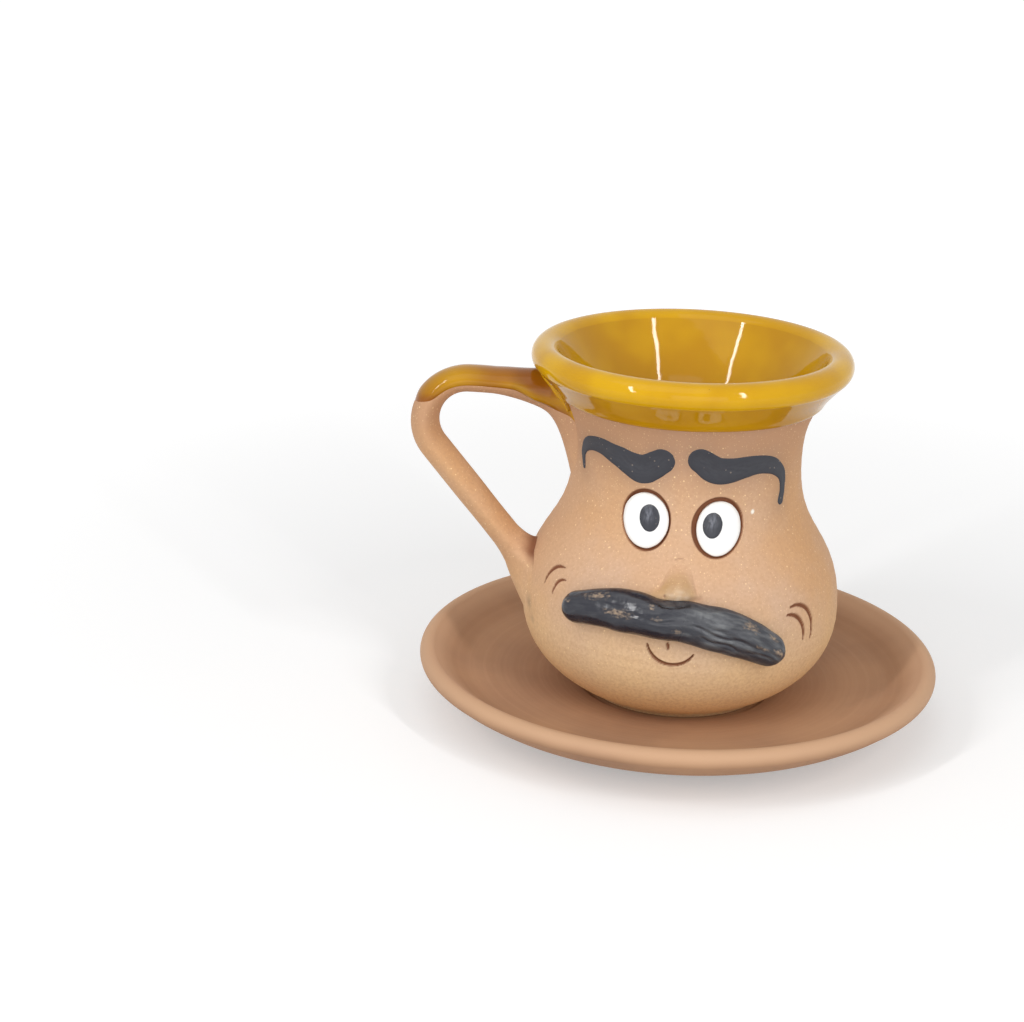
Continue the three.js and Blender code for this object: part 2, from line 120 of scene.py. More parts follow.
RIPPLE_WAVES = ((1.0, 0.0), (0.62, 0.79), (-0.41, 1.13), (1.37, -0.58), (0.23, 1.71))


def ripple(along: Array, across: Array, seed: float) -> Array:
    """Makes a smooth unevenness that looks random and is the same each time.

    Args:
        along: One place, in waves.
        across: The other place, in waves.
        seed: Moves the waves, for a different unevenness.

    Returns:
        Values between -1 and 1.
    """
    total = np.zeros(np.broadcast(along, across).shape)
    for number, (first, second) in enumerate(RIPPLE_WAVES, start=1):
        total = total + np.sin(first * along + second * across + seed * number)
    return total / len(RIPPLE_WAVES)


def column(steps: int) -> Array:
    """Returns even shares from 0 to 1, as a column."""
    return np.linspace(0, 1, steps)[:, None]


def bent(start: Array, pull: Array, end: Array, t: Array) -> Array:
    """Returns points of a curve with one handle, at shares of it."""
    return (1 - t) ** 2 * start + 2 * t * (1 - t) * pull + t * t * end


def spun(reach: Array, angle: Array, rise: Array) -> Array:
    """Returns points at a reach from the axis and an angle round from the middle of the face."""
    x, y = reach * np.sin(angle), -reach * np.cos(angle)
    return np.stack(np.broadcast_arrays(x, y, rise), axis=-1)


def bezier(start: Pair, pull: Pair, pull_end: Pair, end: Pair, steps: int) -> Array:
    """Returns points of a curve with two handles, cut into steps, both ends included."""
    t, (a, b, c, d) = column(steps + 1), np.array([start, pull, pull_end, end])
    return (1 - t) * bent(a, b, c, t) + t * bent(b, c, d, t)


def spline(stations: Array, shares: Array) -> Array:
    """Samples a smooth curve through stations.

    Args:
        stations: The stations as rows.
        shares: Places along the curve, from 0 to 1.

    Returns:
        A row for each share.
    """
    before = 2 * stations[0] - stations[1]
    after = 2 * stations[-1] - stations[-2]
    padded = np.vstack([before, stations, after])
    place = np.clip(shares, 0, 1) * (len(stations) - 1)
    index = np.minimum(place.astype(int), len(stations) - 2)
    t = (place - index)[:, None]
    a, b, c, d = (padded[index + k] for k in range(4))
    bend = (2 * a - 5 * b + 4 * c - d) * t + (3 * b - a - 3 * c + d) * t * t
    return 0.5 * (2 * b + (c - a + bend) * t)


def smoothed(rows: Array, window: int) -> Array:
    """Takes the sharp turns out of a line.

    Args:
        rows: The line's points as rows.
        window: How many points are averaged, an odd number.

    Returns:
        As many rows.
    """
    padded = np.pad(rows, ((window // 2, window // 2), (0, 0)), mode="reflect", reflect_type="odd")
    even = np.ones(window) / window
    return np.stack([np.convolve(column, even, "valid") for column in padded.T], axis=-1)


def lengths_along(points: Array) -> Array:
    """Returns how far each point of a line is from its start."""
    steps = np.linalg.norm(np.diff(points, axis=0), axis=1)
    return np.concatenate([[0.0], np.cumsum(steps)])


def unit(vectors: Array) -> Array:
    """Returns vectors of length 1."""
    return vectors / np.linalg.norm(vectors, axis=-1, keepdims=True)


# Meshes


@dataclass
class Shell:
    """A closed surface in millimetres."""

    points: Array
    faces: list[tuple[int, ...]]
    marks: dict[Mark, Array] = field(default_factory=dict)

    def joined(self, other: "Shell") -> "Shell":
        """Puts two shells into one.

        Args:
            other: The shell to add. It has the same marks.

        Returns:
            One shell of both surfaces.
        """
        start = len(self.points)
        moved = [tuple(i + start for i in face) for face in other.faces]
        marks = {mark: np.concatenate([self.marks[mark], other.marks[mark]]) for mark in self.marks}
        return Shell(np.vstack([self.points, other.points]), self.faces + moved, marks)


def grid_faces(rows: int, columns: int, round_it: bool) -> list[tuple[int, ...]]:
    """Lists the four-sided faces between rows of points.

    Args:
        rows: How many rows.
        columns: How many points in a row.
        round_it: Whether the last column joins the first.

    Returns:
        Faces as point numbers.
    """
    i = np.arange(rows - 1)[:, None] * columns
    j = np.arange(columns if round_it else columns - 1)[None, :]
    k = (j + 1) % columns
    faces = np.stack([i + j, i + k, i + columns + k, i + columns + j], axis=-1)
    return [tuple(face) for face in faces.reshape(-1, 4).tolist()]


def tube(rings: Array, first: Array, last: Array) -> Shell:
    """Closes rings of points into a solid, with a middle point at each end.

    Args:
        rings: Points as (ring, place round it, xyz).
        first: Middle of the first end.
        last: Middle of the last end.

    Returns:
        The closed shell. Its last two points are the middles.
    """
    rows, columns = rings.shape[:2]
    faces = grid_faces(rows, columns, True)
    start = rows * columns
    back = start - columns
    for j in range(columns):
        k = (j + 1) % columns
        faces.append((start, k, j))
        faces.append((start + 1, back + j, back + k))
    return Shell(np.vstack([rings.reshape(-1, 3), first, last]), faces)


def slab(top: Array, bottom: Array) -> Shell:
    """Closes two sheets of the same grid into a thin solid.

    Args:
        top: Outer sheet as (row, column, xyz).
        bottom: Inner sheet of the same shape.

    Returns:
        The closed shell, the top sheet's points first.
    """
    rows, columns = top.shape[:2]
    count = rows * columns
    upper = grid_faces(rows, columns, False)
    lower = [tuple(i + count for i in reversed(face)) for face in upper]
    edge = list(range(columns - 1))
    edge += [i * columns + columns - 1 for i in range(rows - 1)]
    edge += [count - 1 - j for j in range(columns - 1)]
    edge += [(rows - 1 - i) * columns for i in range(rows - 1)]
    sides = [(b, a, a + count, b + count) for a, b in zip(edge, edge[1:] + edge[:1])]
    points = np.vstack([top.reshape(-1, 3), bottom.reshape(-1, 3)])
    return Shell(points, upper + lower + sides)


@dataclass
class Piece:
    """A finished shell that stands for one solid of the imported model."""

    name: str
    node: str
    body: Body
    slot: Slot
    shell: Shell
    finish: Material

    def build(self) -> None:
        """Makes the object, dresses it and joins it to its body."""
        mesh = bpy.data.meshes.new(self.name)
        mesh.from_pydata((self.shell.points * MM).tolist(), [], self.shell.faces)
        turned = bmesh.new()
        turned.from_mesh(mesh)
        bmesh.ops.recalc_face_normals(turned, faces=turned.faces)
        turned.to_mesh(mesh)
        turned.free()
        mesh.shade_smooth()
        for mark, values in self.shell.marks.items():
            layer = mesh.attributes.new(mark.value, "FLOAT", "POINT")
            layer.data.foreach_set("value", np.asarray(values, np.float32))
        mesh.materials.append(self.finish)
        made = bpy.data.objects.new(self.name, mesh)
        bpy.context.scene.collection.objects.link(made)
        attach(made, self.body.value)
        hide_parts(self.node)
        log.info("%s stands for %s: %d faces", self.name, self.node, len(mesh.polygons))


# Shader boards


@dataclass(frozen=True)
class Field:
    """A shader socket that works in sums like a number."""

    board: "Board"
    socket: bpy.types.NodeSocket

    def __add__(self, other: Operand) -> "Field":
        """Adds a value."""
        return self.board.math("ADD", self, other)

    def __radd__(self, other: Operand) -> "Field":
        """Adds to a value."""
        return self.board.math("ADD", other, self)

    def __sub__(self, other: Operand) -> "Field":
        """Takes a value away."""
        return self.board.math("SUBTRACT", self, other)

    def __rsub__(self, other: Operand) -> "Field":
        """Is taken away from a value."""
        return self.board.math("SUBTRACT", other, self)

    def __mul__(self, other: Operand) -> "Field":
        """Multiplies by a value."""
        return self.board.math("MULTIPLY", self, other)

    def __rmul__(self, other: Operand) -> "Field":
        """Multiplies a value."""
        return self.board.math("MULTIPLY", other, self)

    def most(self, other: Operand) -> "Field":
        """Returns the larger of two values."""
        return self.board.math("MAXIMUM", self, other)

    def rise(self, low: float, high: float) -> "Field":
        """Returns an S-shaped rise from 0 at low to 1 at high."""
        settings = {"interpolation_type": "SMOOTHSTEP"}
        values = {"Value": self, "From Min": low, "From Max": high}
        return self.board.field("ShaderNodeMapRange", settings, values, "Result")


FLECK_LEAST = 0.45
FLECK_EDGE = 0.3
FLECK_CHANCE_EDGE = 0.02


class Board:
    """A node tree that finishes are laid out on."""

    def __init__(self, tree: bpy.types.NodeTree) -> None:
        """Clears the tree."""
        self.tree = tree
        tree.nodes.clear()

    def node(self, kind: str, settings: dict, values: dict) -> bpy.types.Node:
        """Adds a node.

        Args:
            kind: The node's type.
            settings: Its properties, which are set first.
            values: What goes into its sockets, by name or number: a value or a field.

        Returns:
            The node.
        """
        made = self.tree.nodes.new(kind)
        for key, value in settings.items():
            setattr(made, key, value)
        for key, value in values.items():
            socket = made.inputs[key] if isinstance(key, int) else self.find(made.inputs, key)
            if isinstance(value, Field):
                self.tree.links.new(value.socket, socket)
            elif socket.type == "RGBA":
                socket.default_value = (*value, 1.0)
            else:
                socket.default_value = value
        return made

    @staticmethod
    def find(sockets: bpy.types.bpy_prop_collection, name: str) -> bpy.types.NodeSocket:
        """Returns the socket in use that has a name."""
        return next(s for s in sockets if s.enabled and s.name == name)

    def field(self, kind: str, settings: dict, values: dict, output: str) -> Field:
        """Adds a node and returns one of its outputs, by name."""
        return Field(self, self.find(self.node(kind, settings, values).outputs, output))

    def math(self, operation: str, first: Operand, second: Operand) -> Field:
        """Returns the result of a Math node."""
        return self.field("ShaderNodeMath", {"operation": operation}, {0: first, 1: second}, "Value")

    def mark(self, mark: Mark) -> Field:
        """Returns a mark of the mesh, or 0 where it has none."""
        return self.field("ShaderNodeAttribute", {"attribute_name": mark.value}, {}, "Fac")

    def place(self) -> Field:
        """Returns the place on the object, in metres."""
        return self.field("ShaderNodeTexCoord", {}, {}, "Object")

    def axis(self, place: Field, name: str) -> Field:
        """Returns one number of a place: X, Y or Z."""
        return self.field("ShaderNodeSeparateXYZ", {}, {"Vector": place}, name)

    def vector(self, x: Operand, y: Operand, z: Operand) -> Field:
        """Returns three numbers as a place."""
        return self.field("ShaderNodeCombineXYZ", {}, {"X": x, "Y": y, "Z": z}, "Vector")

    def length(self, place: Field) -> Field:
        """Returns how far a place is from the middle."""
        return self.field("ShaderNodeVectorMath", {"operation": "LENGTH"}, {0: place}, "Value")

    def noise(self, place: Field, size: float, detail: float) -> Field:
        """Returns cloudy noise about 0.5, with clouds of a size and so many finer layers."""
        values = {"Vector": place, "Scale": 1 / size, "Detail": detail}
        return self.field("ShaderNodeTexNoise", {}, values, "Fac")

    def flecks(self, place: Field, spacing: float, share: float, size: float) -> Field:
        """Scatters small round flecks.

        Args:
            place: Where to look.
            spacing: How far apart the flecks lie.
            share: How many of the places hold a fleck.
            size: The largest fleck's radius, as a share of the spacing.

        Returns:
            1 in a fleck and 0 elsewhere.
        """
        values = {"Vector": place, "Scale": 1 / spacing}
        cells = self.node("ShaderNodeTexVoronoi", {"feature": "F1"}, values)
        distance = Field(self, cells.outputs["Distance"])
        chance = Field(self, cells.outputs["Color"])
        split = self.node("ShaderNodeSeparateColor", {}, {"Color": chance})
        least = 1 - share
        kept = Field(self, split.outputs["Red"]).rise(least, least + FLECK_CHANCE_EDGE)
        reach = size * (FLECK_LEAST + (1 - FLECK_LEAST) * Field(self, split.outputs["Green"]))
        return kept * (reach - distance).rise(0.0, FLECK_EDGE * size)

    def mix(self, share: Operand, first: Union[Field, Colour], second: Union[Field, Colour]) -> Field:
        """Returns the mix of two colours that has a share of the second."""
        values = {"Factor": share, "A": first, "B": second}
        return self.field("ShaderNodeMix", {"data_type": "RGBA"}, values, "Result")

    def bump(self, height: Field, depth: float) -> Field:
        """Returns the normal of a relief, from heights between 0 and 1 and its depth in metres."""
        values = {"Height": height, "Distance": depth, "Strength": 1.0}
        return self.field("ShaderNodeBump", {}, values, "Normal")

    def surface(self, values: dict) -> None:
        """Ends a material in one Principled surface that has these values."""
        shader = self.field("ShaderNodeBsdfPrincipled", {}, values, "BSDF")
        self.node("ShaderNodeOutputMaterial", {}, {"Surface": shader})


def new_finish(name: str) -> tuple[Material, Board]:
    """Starts a material.

    Args:
        name: Its name.

    Returns:
        The material and its empty board.
    """
    made = bpy.data.materials.new(name)
    made.use_nodes = True
    return made, Board(made.node_tree)


# Finishes


@dataclass(frozen=True)
class CupClay:
    """Unglazed fired clay, full of fine golden flecks of mica."""

    pale: Colour = tone(209, 175, 148)
    warm: Colour = tone(211, 163, 116)
    golden: Colour = tone(252, 220, 166)
    darker_clay: Colour = tone(184, 138, 104)
    soot: Colour = tone(128, 104, 88)
    incised_and_shade: Colour = tone(126, 75, 45)
    ochre_and_shade: Colour = tone(186, 146, 92)
    fleck: Colour = tone(255, 226, 170)
    spatter: Colour = tone(246, 240, 226)
    low_stretch: Pair = (0.012, 0.045)
    high_stretch: Pair = (0.058, 0.075)
    front_stretch: Pair = (0.012, 0.036)
    cloud_size: float = 0.016
    grain_size: float = 0.0007
    fine_spacing: float = 0.00045
    large_spacing: float = 0.0011
    roughness: float = 0.74
    relief: float = 0.00003

    def make(self) -> Material:
        """Returns the material."""
        made, board = new_finish("cup_clay")
        place = board.place()
        height = board.axis(place, "Z")
        cloud = board.noise(place, self.cloud_size, 3.0)
        grain = board.noise(place, self.grain_size, 3.0)
        incised_and_shade = board.mark(Mark.INCISION_AND_SHADE)
        spatter = board.mark(Mark.SPATTER)

        front = (-1.0 * board.axis(place, "Y")).rise(*self.front_stretch)
        colour = board.mix(0.6 * front + 0.4 * cloud.rise(0.35, 0.65), self.warm, self.pale)
        # Painted light: the low belly is lightened to a pale gold, partly the clay's own tone there and
        # partly light against the saucer's shade.
        low = 1 - (height + 0.012 * cloud).rise(*self.low_stretch)
        colour = board.mix(0.95 * low, colour, self.golden)
        # Darker up the neck, under the rim, and over the handle's top, by height alone.
        high = (height + 0.006 * cloud).rise(*self.high_stretch)
        colour = board.mix(0.7 * high, colour, self.darker_clay)
        # The nose's wash: its own yellow-brown tint, and painted shade on its flanks.
        colour = board.mix(board.mark(Mark.OCHRE_AND_SHADE), colour, self.ochre_and_shade)
        colour = board.mix(board.mark(Mark.HAZE_AND_SHEEN), colour, self.soot)
        colour = board.mix(0.30 * grain.rise(0.35, 0.75), colour, self.darker_clay)

        fine = board.flecks(place, self.fine_spacing, 0.5, 0.36)
        large = board.flecks(place, self.large_spacing, 0.5, 0.2)
        bare = (1 - incised_and_shade) * (1 - spatter)
        flecks = (0.5 * fine).most(large) * bare
        colour = board.mix((0.6 + 0.3 * low) * flecks, colour, self.fleck)
        # The cut-line colour: the face's cut lines, and painted shade in the creases at the handle's foot
        # and beside the nose.
        colour = board.mix(incised_and_shade, colour, self.incised_and_shade)
        colour = board.mix(spatter, colour, self.spatter)

        board.surface({
            "Base Color": colour,
            "Roughness": self.roughness - 0.36 * flecks,
            "Normal": board.bump(grain + 0.6 * flecks, self.relief),
        })
        return made


@dataclass(frozen=True)
class SaucerClay:
    """Smooth, dull terracotta with faint rings from the wheel and a rubbed lip."""

    dark: Colour = tone(158, 118, 89)
    mid: Colour = tone(180, 137, 102)
    rubbed: Colour = tone(206, 165, 130)
    ring: Colour = tone(128, 90, 70)
    lip_stretch: Pair = (0.0112, 0.0145)
    wheel_size: float = 0.0011
    cloud_size: float = 0.024
    grain_size: float = 0.0006
    pit_spacing: float = 0.0034
    roughness: float = 0.8
    relief: float = 0.00002

    def make(self) -> Material:
        """Returns the material."""
        made, board = new_finish("saucer_clay")
        place = board.place()
        height = board.axis(place, "Z")
        across = board.vector(board.axis(place, "X"), board.axis(place, "Y"), 0.0)
        reach = board.length(across)
        wheel = board.noise(board.vector(reach, 0.04 * height, 0.0), self.wheel_size, 2.0)
        cloud = board.noise(place, self.cloud_size, 3.0)
        grain = board.noise(place, self.grain_size, 3.0)

        colour = board.mix(cloud.rise(0.2, 0.8), self.dark, self.mid)
        colour = board.mix(0.09 * wheel.rise(0.4, 0.7), colour, self.rubbed)
        lip = (height + 0.0015 * cloud).rise(*self.lip_stretch)
        colour = board.mix(0.75 * lip, colour, self.rubbed)
        colour = board.mix(board.mark(Mark.INCISION_AND_SHADE), colour, self.ring)
        pits = board.flecks(place, self.pit_spacing, 0.35, 0.05)
        colour = board.mix(0.5 * pits, colour, self.ring)
        board.surface({
            "Base Color": colour,
            "Roughness": self.roughness - 0.12 * lip,
            "Normal": board.bump(grain + 0.5 * wheel - pits, self.relief),
        })
        return made


@dataclass(frozen=True)
class MustardGlaze:
    """Glossy mustard glaze that turns amber where it is thin, and near the handle's root as painted shade.
    """

    thick: Colour = tone(214, 164, 4)
    deep: Colour = tone(202, 150, 4)
    amber: Colour = tone(145, 83, 14)
    pinhole: Colour = tone(104, 70, 12)
    gloss: float = 0.03
    mirror: float = 0.24
    cloud_size: float = 0.014
    sag_size: float = 0.0075
    peel_size: float = 0.0028
    hole_spacing: float = 0.0042
    relief: float = 0.00009

    def make(self) -> Material:
        """Returns the material."""
        made, board = new_finish("mustard_glaze")
        place = board.place()
        cloud = board.noise(place, self.cloud_size, 2.0)
        sag = board.noise(place, self.sag_size, 1.0)
        holes = board.flecks(place, self.hole_spacing, 0.16, 0.035)
        colour = board.mix(cloud.rise(0.35, 0.65), self.thick, self.deep)
        thin = board.mark(Mark.THIN)
        colour = board.mix((thin + 0.3 * thin * (cloud - 0.5)).rise(0.0, 1.0), colour, self.amber)
        colour = board.mix(holes, colour, self.pinhole)
        peel = board.noise(place, self.peel_size, 1.0)
        board.surface({
            "Base Color": colour,
            "Roughness": self.gloss + 0.03 * cloud + 0.3 * holes,
            "Specular IOR Level": self.mirror,
            "Normal": board.bump(sag + 0.16 * peel - 0.4 * holes, self.relief),
        })
        return made


@dataclass(frozen=True)
class MoustachePaint:
    """Charcoal satin paint on rough clay, rubbed through on the high places."""

    paint: Colour = tone(35, 36, 46)
    thin_paint_and_sheen: Colour = tone(104, 106, 108)
    bare: Colour = tone(184, 158, 130)
    line: Colour = tone(18, 18, 22)
    dull_stretch: Pair = (21.0, 33.0)
    streak_stretch: float = 0.28
    streak_size: float = 1.1
    patch_size: float = 3.0
    crumb_stretch: float = 0.7
    crumb_size: float = 0.55
    pebble_size: float = 0.0016
    grain_size: float = 0.0005
    relief: float = 0.00014

    def make(self) -> Material:
        """Returns the material."""
        made, board = new_finish("moustache_paint")
        place = board.place()
        along = board.mark(Mark.ALONG)
        round_it = board.mark(Mark.ROUND)
        worn = board.mark(Mark.WORN_AND_HIGHLIGHT)
        dull = along.rise(*self.dull_stretch)
        drawn_out = board.vector(self.streak_stretch * along, round_it, 0.0)
        streak = board.noise(drawn_out, self.streak_size, 3.0)
        patch = board.noise(board.vector(along, round_it, 3.0), self.patch_size, 2.0)
        pebble = board.noise(place, self.pebble_size, 2.0)
        grain = board.noise(place, self.grain_size, 3.0)
        crumbled = board.vector(self.crumb_stretch * along, round_it, 7.0)
        crumb = board.noise(crumbled, self.crumb_size, 3.0)
        # Lighter paint: brushed streaks; over the right half thin paint and painted sheen; and painted
        # sheen on the patch right of the nose and on the facet under it.
        thin = 0.13 * dull + (0.16 + 0.42 * dull) * streak.rise(0.4, 0.75)
        thin = thin + board.mark(Mark.HAZE_AND_SHEEN) * pebble.rise(0.2, 0.7)
        colour = board.mix(thin, self.paint, self.thin_paint_and_sheen)
        rubbed = worn.rise(0.1, 0.5) * (worn + 2.0 * crumb).rise(1.4, 2.4)
        colour = board.mix(0.72 * rubbed, colour, self.bare)
        colour = board.mix(board.mark(Mark.INCISION_AND_SHADE), colour, self.line)
        height = 0.25 * grain + 0.7 * pebble + (0.6 + 0.3 * dull) * streak
        board.surface({
            "Base Color": colour,
            "Roughness": 0.11 + 0.23 * dull + 0.10 * patch + 0.3 * rubbed,
            "Normal": board.bump(height, self.relief),
        })
        return made


@dataclass(frozen=True)
class BrushPaint:
    """Thin charcoal brush paint, with the clay's flecks faint in it."""

    name: str
    paint: Colour
    streak: Colour
    streak_share: float
    roughness: float
    fleck: Colour = tone(176, 158, 140)
    fleck_share: float = 0.35
    lighter: float = 1.35
    brush_stretch: float = 0.35
    brush_size: float = 0.6
    cloud_size: float = 0.006
    grain_size: float = 0.0006
    fleck_spacing: float = 0.00095
    relief: float = 0.00003

    def make(self) -> Material:
        """Returns the material."""
        made, board = new_finish(self.name)
        place = board.place()
        along = board.mark(Mark.ALONG)
        round_it = board.mark(Mark.ROUND)
        drawn_out = board.vector(self.brush_stretch * along, round_it, 0.0)
        brush = board.noise(drawn_out, self.brush_size, 3.0)
        cloud = board.noise(place, self.cloud_size, 2.0)
        grain = board.noise(place, self.grain_size, 2.0)
        flecks = board.flecks(place, self.fleck_spacing, 0.28, 0.26)
        colour = board.mix(cloud, self.paint, tuple(self.lighter * c for c in self.paint))
        # Lighter streaks where the mark is high; on the pupils they are a painted highlight.
        streak_and_highlight = self.streak_share * board.mark(Mark.WORN_AND_HIGHLIGHT) * brush.rise(0.25, 0.75)
        colour = board.mix(streak_and_highlight, colour, self.streak)
        colour = board.mix(self.fleck_share * flecks, colour, self.fleck)
        board.surface({
            "Base Color": colour,
            "Roughness": self.roughness + 0.2 * (brush - 0.5),
            "Normal": board.bump(brush + 0.5 * grain, self.relief),
        })
        return made


@dataclass(frozen=True)
class WhitePaint:
    """Thick white paint, put on with a small brush."""

    white: Colour = tone(246, 246, 245)
    cream: Colour = tone(232, 228, 222)
    brush_size: float = 0.0012
    cloud_size: float = 0.004
    roughness: float = 0.42
    relief: float = 0.00005

    def make(self) -> Material:
        """Returns the material."""
        made, board = new_finish("white_paint")
        place = board.place()
        brush = board.noise(place, self.brush_size, 3.0)
        cloud = board.noise(place, self.cloud_size, 2.0)
        edge = board.mark(Mark.WORN_AND_HIGHLIGHT)
        colour = board.mix((0.35 * cloud + edge).rise(0.2, 1.2), self.white, self.cream)
        board.surface({
            "Base Color": colour,
            "Roughness": self.roughness + 0.15 * cloud,
            "Normal": board.bump(brush, self.relief),
        })
        return made


# The pot, which everything on the cup is fitted to


@dataclass
class Pot:
    """The thrown pot: its sizes, its side and places on it. Heights are above its foot."""

    standing: float
    foot_radius: float = 20.0
    foot_bevel: float = 0.8
    belly_radius: float = 35.75
    belly_height: float = 21.0
    neck_radius: float = 25.4
    neck_height: float = 56.0
    rim_radius: float = 35.0
    height: float = 80.0
    lip_radius: float = 2.6
    lip_outer: float = math.radians(-50)
    lip_inner: float = math.radians(152)
    wall: float = 3.2
    floor: float = 4.5
    glaze_drop: float = 11.0
    foot_pull: Pair = (0.58, 0.24)
    floor_pull: float = 0.78
    belly_pull: float = 0.52
    shoulder_pull: float = 0.51
    waist_pull: float = 0.54
    throat_pull: float = 0.42
    flare_pull: Pair = (0.34, 0.56)
    curve_steps: int = 80
    throwing_ridge: float = 0.02
    ridge_turn: float = 2.3
    ridge_fade: float = 5.0
    unevenness: float = 0.10

    def __post_init__(self) -> None:
        """Works out the pot's side, outside and inside."""
        self.glaze_edge = self.height - self.glaze_drop
        start = (self.foot_radius + self.foot_bevel, self.foot_bevel)
        out, up = self.foot_pull
        pull = (self.foot_radius + (self.belly_radius - self.foot_radius) * out, self.belly_height * up)
        self.outside = self.side(start, pull, 0.0, self.lip_point(self.lip_outer))
        pull = ((self.belly_radius - self.wall) * self.floor_pull, self.floor)
        self.inside = self.side((0.0, self.floor), pull, self.wall, self.lip_point(self.lip_inner))

    def lip_point(self, angle: float, grown: float = 0.0) -> Pair:
        """Returns the (radius, height) of a place on the rim's bead, grown by a coat."""
        size, (out, up) = self.lip_radius + grown, (math.cos(angle), math.sin(angle))
        return self.rim_radius - self.lip_radius + size * out, self.height - self.lip_radius + size * up

    def side(self, start: Pair, pull: Pair, inset: float, lip_end: Pair) -> Array:
        """Draws the pot's side from its foot or floor up to the lip.

        Args:
            start: Where it starts, as (radius, height).
            pull: Handle of the start.
            inset: How far in from the outside it lies.
            lip_end: Where it meets the bead.

        Returns:
            Points as (radius, height).
        """
        belly, neck = self.belly_radius - inset, self.neck_radius - inset
        waist, flare = self.neck_height - self.belly_height, self.height - self.neck_height
        widest, narrowest = (belly, self.belly_height), (neck, self.neck_height)
        steps = self.curve_steps
        low = bezier(start, pull, (belly, self.belly_height * self.belly_pull), widest, steps)
        middle = bezier(widest, (belly, self.belly_height + waist * self.shoulder_pull),
                        (neck, self.neck_height - waist * self.waist_pull), narrowest, steps)
        out, up = self.flare_pull
        high = bezier(narrowest, (neck, self.neck_height + flare * self.throat_pull),
                      (neck + (lip_end[0] - neck) * out, self.neck_height + flare * up), lip_end, steps)
        return np.vstack([low, middle[1:], high[1:]])

    def radius(self, height: Array) -> Array:
        """Returns the outside's radius at heights."""
        return np.interp(height, self.outside[:, 1], self.outside[:, 0])

    def hand_work(self, angle: Array, height: Array) -> Array:
        """Makes the small faults of a side that is thrown by hand.

        Args:
            angle: Angle round the pot from the middle of the face.
            height: Height above the foot.

        Returns:
            How far the side stands out from a true one.
        """
        fade = 1 - smooth_step(self.glaze_edge, self.glaze_edge + self.ridge_fade, height)
        rings = np.sin(self.ridge_turn * height + 0.8 * np.sin(angle) + 0.9 * np.sin(0.37 * height))
        slow = ripple(2 * np.cos(angle) + 0.09 * height, 2 * np.sin(angle), 0.6)
        return fade * (self.throwing_ridge * rings + self.unevenness * slow)

    def on_wall(self, angle: Array, height: Array, lift: Array) -> Array:
        """Finds points on the outside.

        Args:
            angle: Angle round the pot from the middle of the face, to the right.
            height: Height above the foot.
            lift: How far out of the wall.

        Returns:
            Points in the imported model's frame.
        """
        step = 0.3
        slope = (self.radius(height + step) - self.radius(height - step)) / (2 * step)
        lean = np.sqrt(1 + slope**2)
        out = lift + self.hand_work(angle, height)
        reach = self.radius(height) + out / lean
        rise = self.standing + height - out * slope / lean
        return spun(reach, angle, rise)

    def on_face(self, across: Array, drop: Array, lift: Array) -> Array:
        """Returns points on the face, at lengths round it, drops below the glaze's edge and lifts."""
        height = self.glaze_edge - drop
        return self.on_wall(across / self.radius(height), height, lift)

    def face_axes(self, across: Array, drop: Array) -> tuple[Array, Array, Array]:
        """Finds the directions of the wall at places on the face.

        Args:
            across: Length round the pot from the middle, to the right.
            drop: How far below the glaze's edge.

        Returns:
            The ways out of the wall, round it and up it.
        """
        step = 0.5
        flat = np.zeros_like(across)
        round_it = unit(self.on_face(across + step, drop, flat) - self.on_face(across - step, drop, flat))
        up = unit(self.on_face(across, drop - step, flat) - self.on_face(across, drop + step, flat))
        out = unit(np.cross(round_it, up))
        return out, round_it, np.cross(out, round_it)

    def gap(self, points: Array) -> Array:
        """Returns how far points are from the pot's side, measured level."""
        return np.linalg.norm(points[..., :2], axis=-1) - self.radius(points[..., 2] - self.standing)

    def pushed_out(self, points: Array, depth: float) -> Array:
        """Moves points that lie deep in the pot out to a depth under its side.

        Args:
            points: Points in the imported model's frame.
            depth: The largest depth that is kept.

        Returns:
            The moved points.
        """
        reach = np.linalg.norm(points[..., :2], axis=-1)
        least = self.radius(points[..., 2] - self.standing) - depth
        moved = points.copy()
        moved[..., :2] *= (np.maximum(reach, least) / np.maximum(reach, TINY))[..., None]
        return moved

    def turned(self, profile: Array, angles: Array) -> Array:
        """Returns (radius, height) points turned about the axis, a row for each."""
        return spun(profile[:, :1], angles, profile[:, 1:] + self.standing)

    def coated(self, profile: Array, lift: float) -> Array:
        """Moves a profile to the right of its direction of travel.

        Args:
            profile: Points as (radius, height).
            lift: How far it is moved.

        Returns:
            The moved points, none of them past the axis.
        """
        along = unit(np.gradient(profile, axis=0))
        moved = profile + lift * np.stack([along[:, 1], -along[:, 0]], axis=-1)
        moved[:, 0] = np.maximum(moved[:, 0], 0.0)
        return moved


# The face


@dataclass(frozen=True)
class Eye:
    """A painted eye: an oval pocket with a white in it and a pupil on that."""

    name: str
    place: Pair
    half_size: Pair
    line_left: float
    line_right: float
    line_top: float
    line_bottom: float
    pupil_place: Pair
    pupil_half: Pair

    def white_place(self) -> Pair:
        """Returns the white's middle, moved by the uneven line round it."""
        across = self.place[0] + (self.line_left - self.line_right) / 2
        return across, self.place[1] + (self.line_top - self.line_bottom) / 2

    def white_half(self) -> Pair:
        """Returns half the white's size."""
        width = self.half_size[0] - (self.line_left + self.line_right) / 2
        return width, self.half_size[1] - (self.line_top + self.line_bottom) / 2


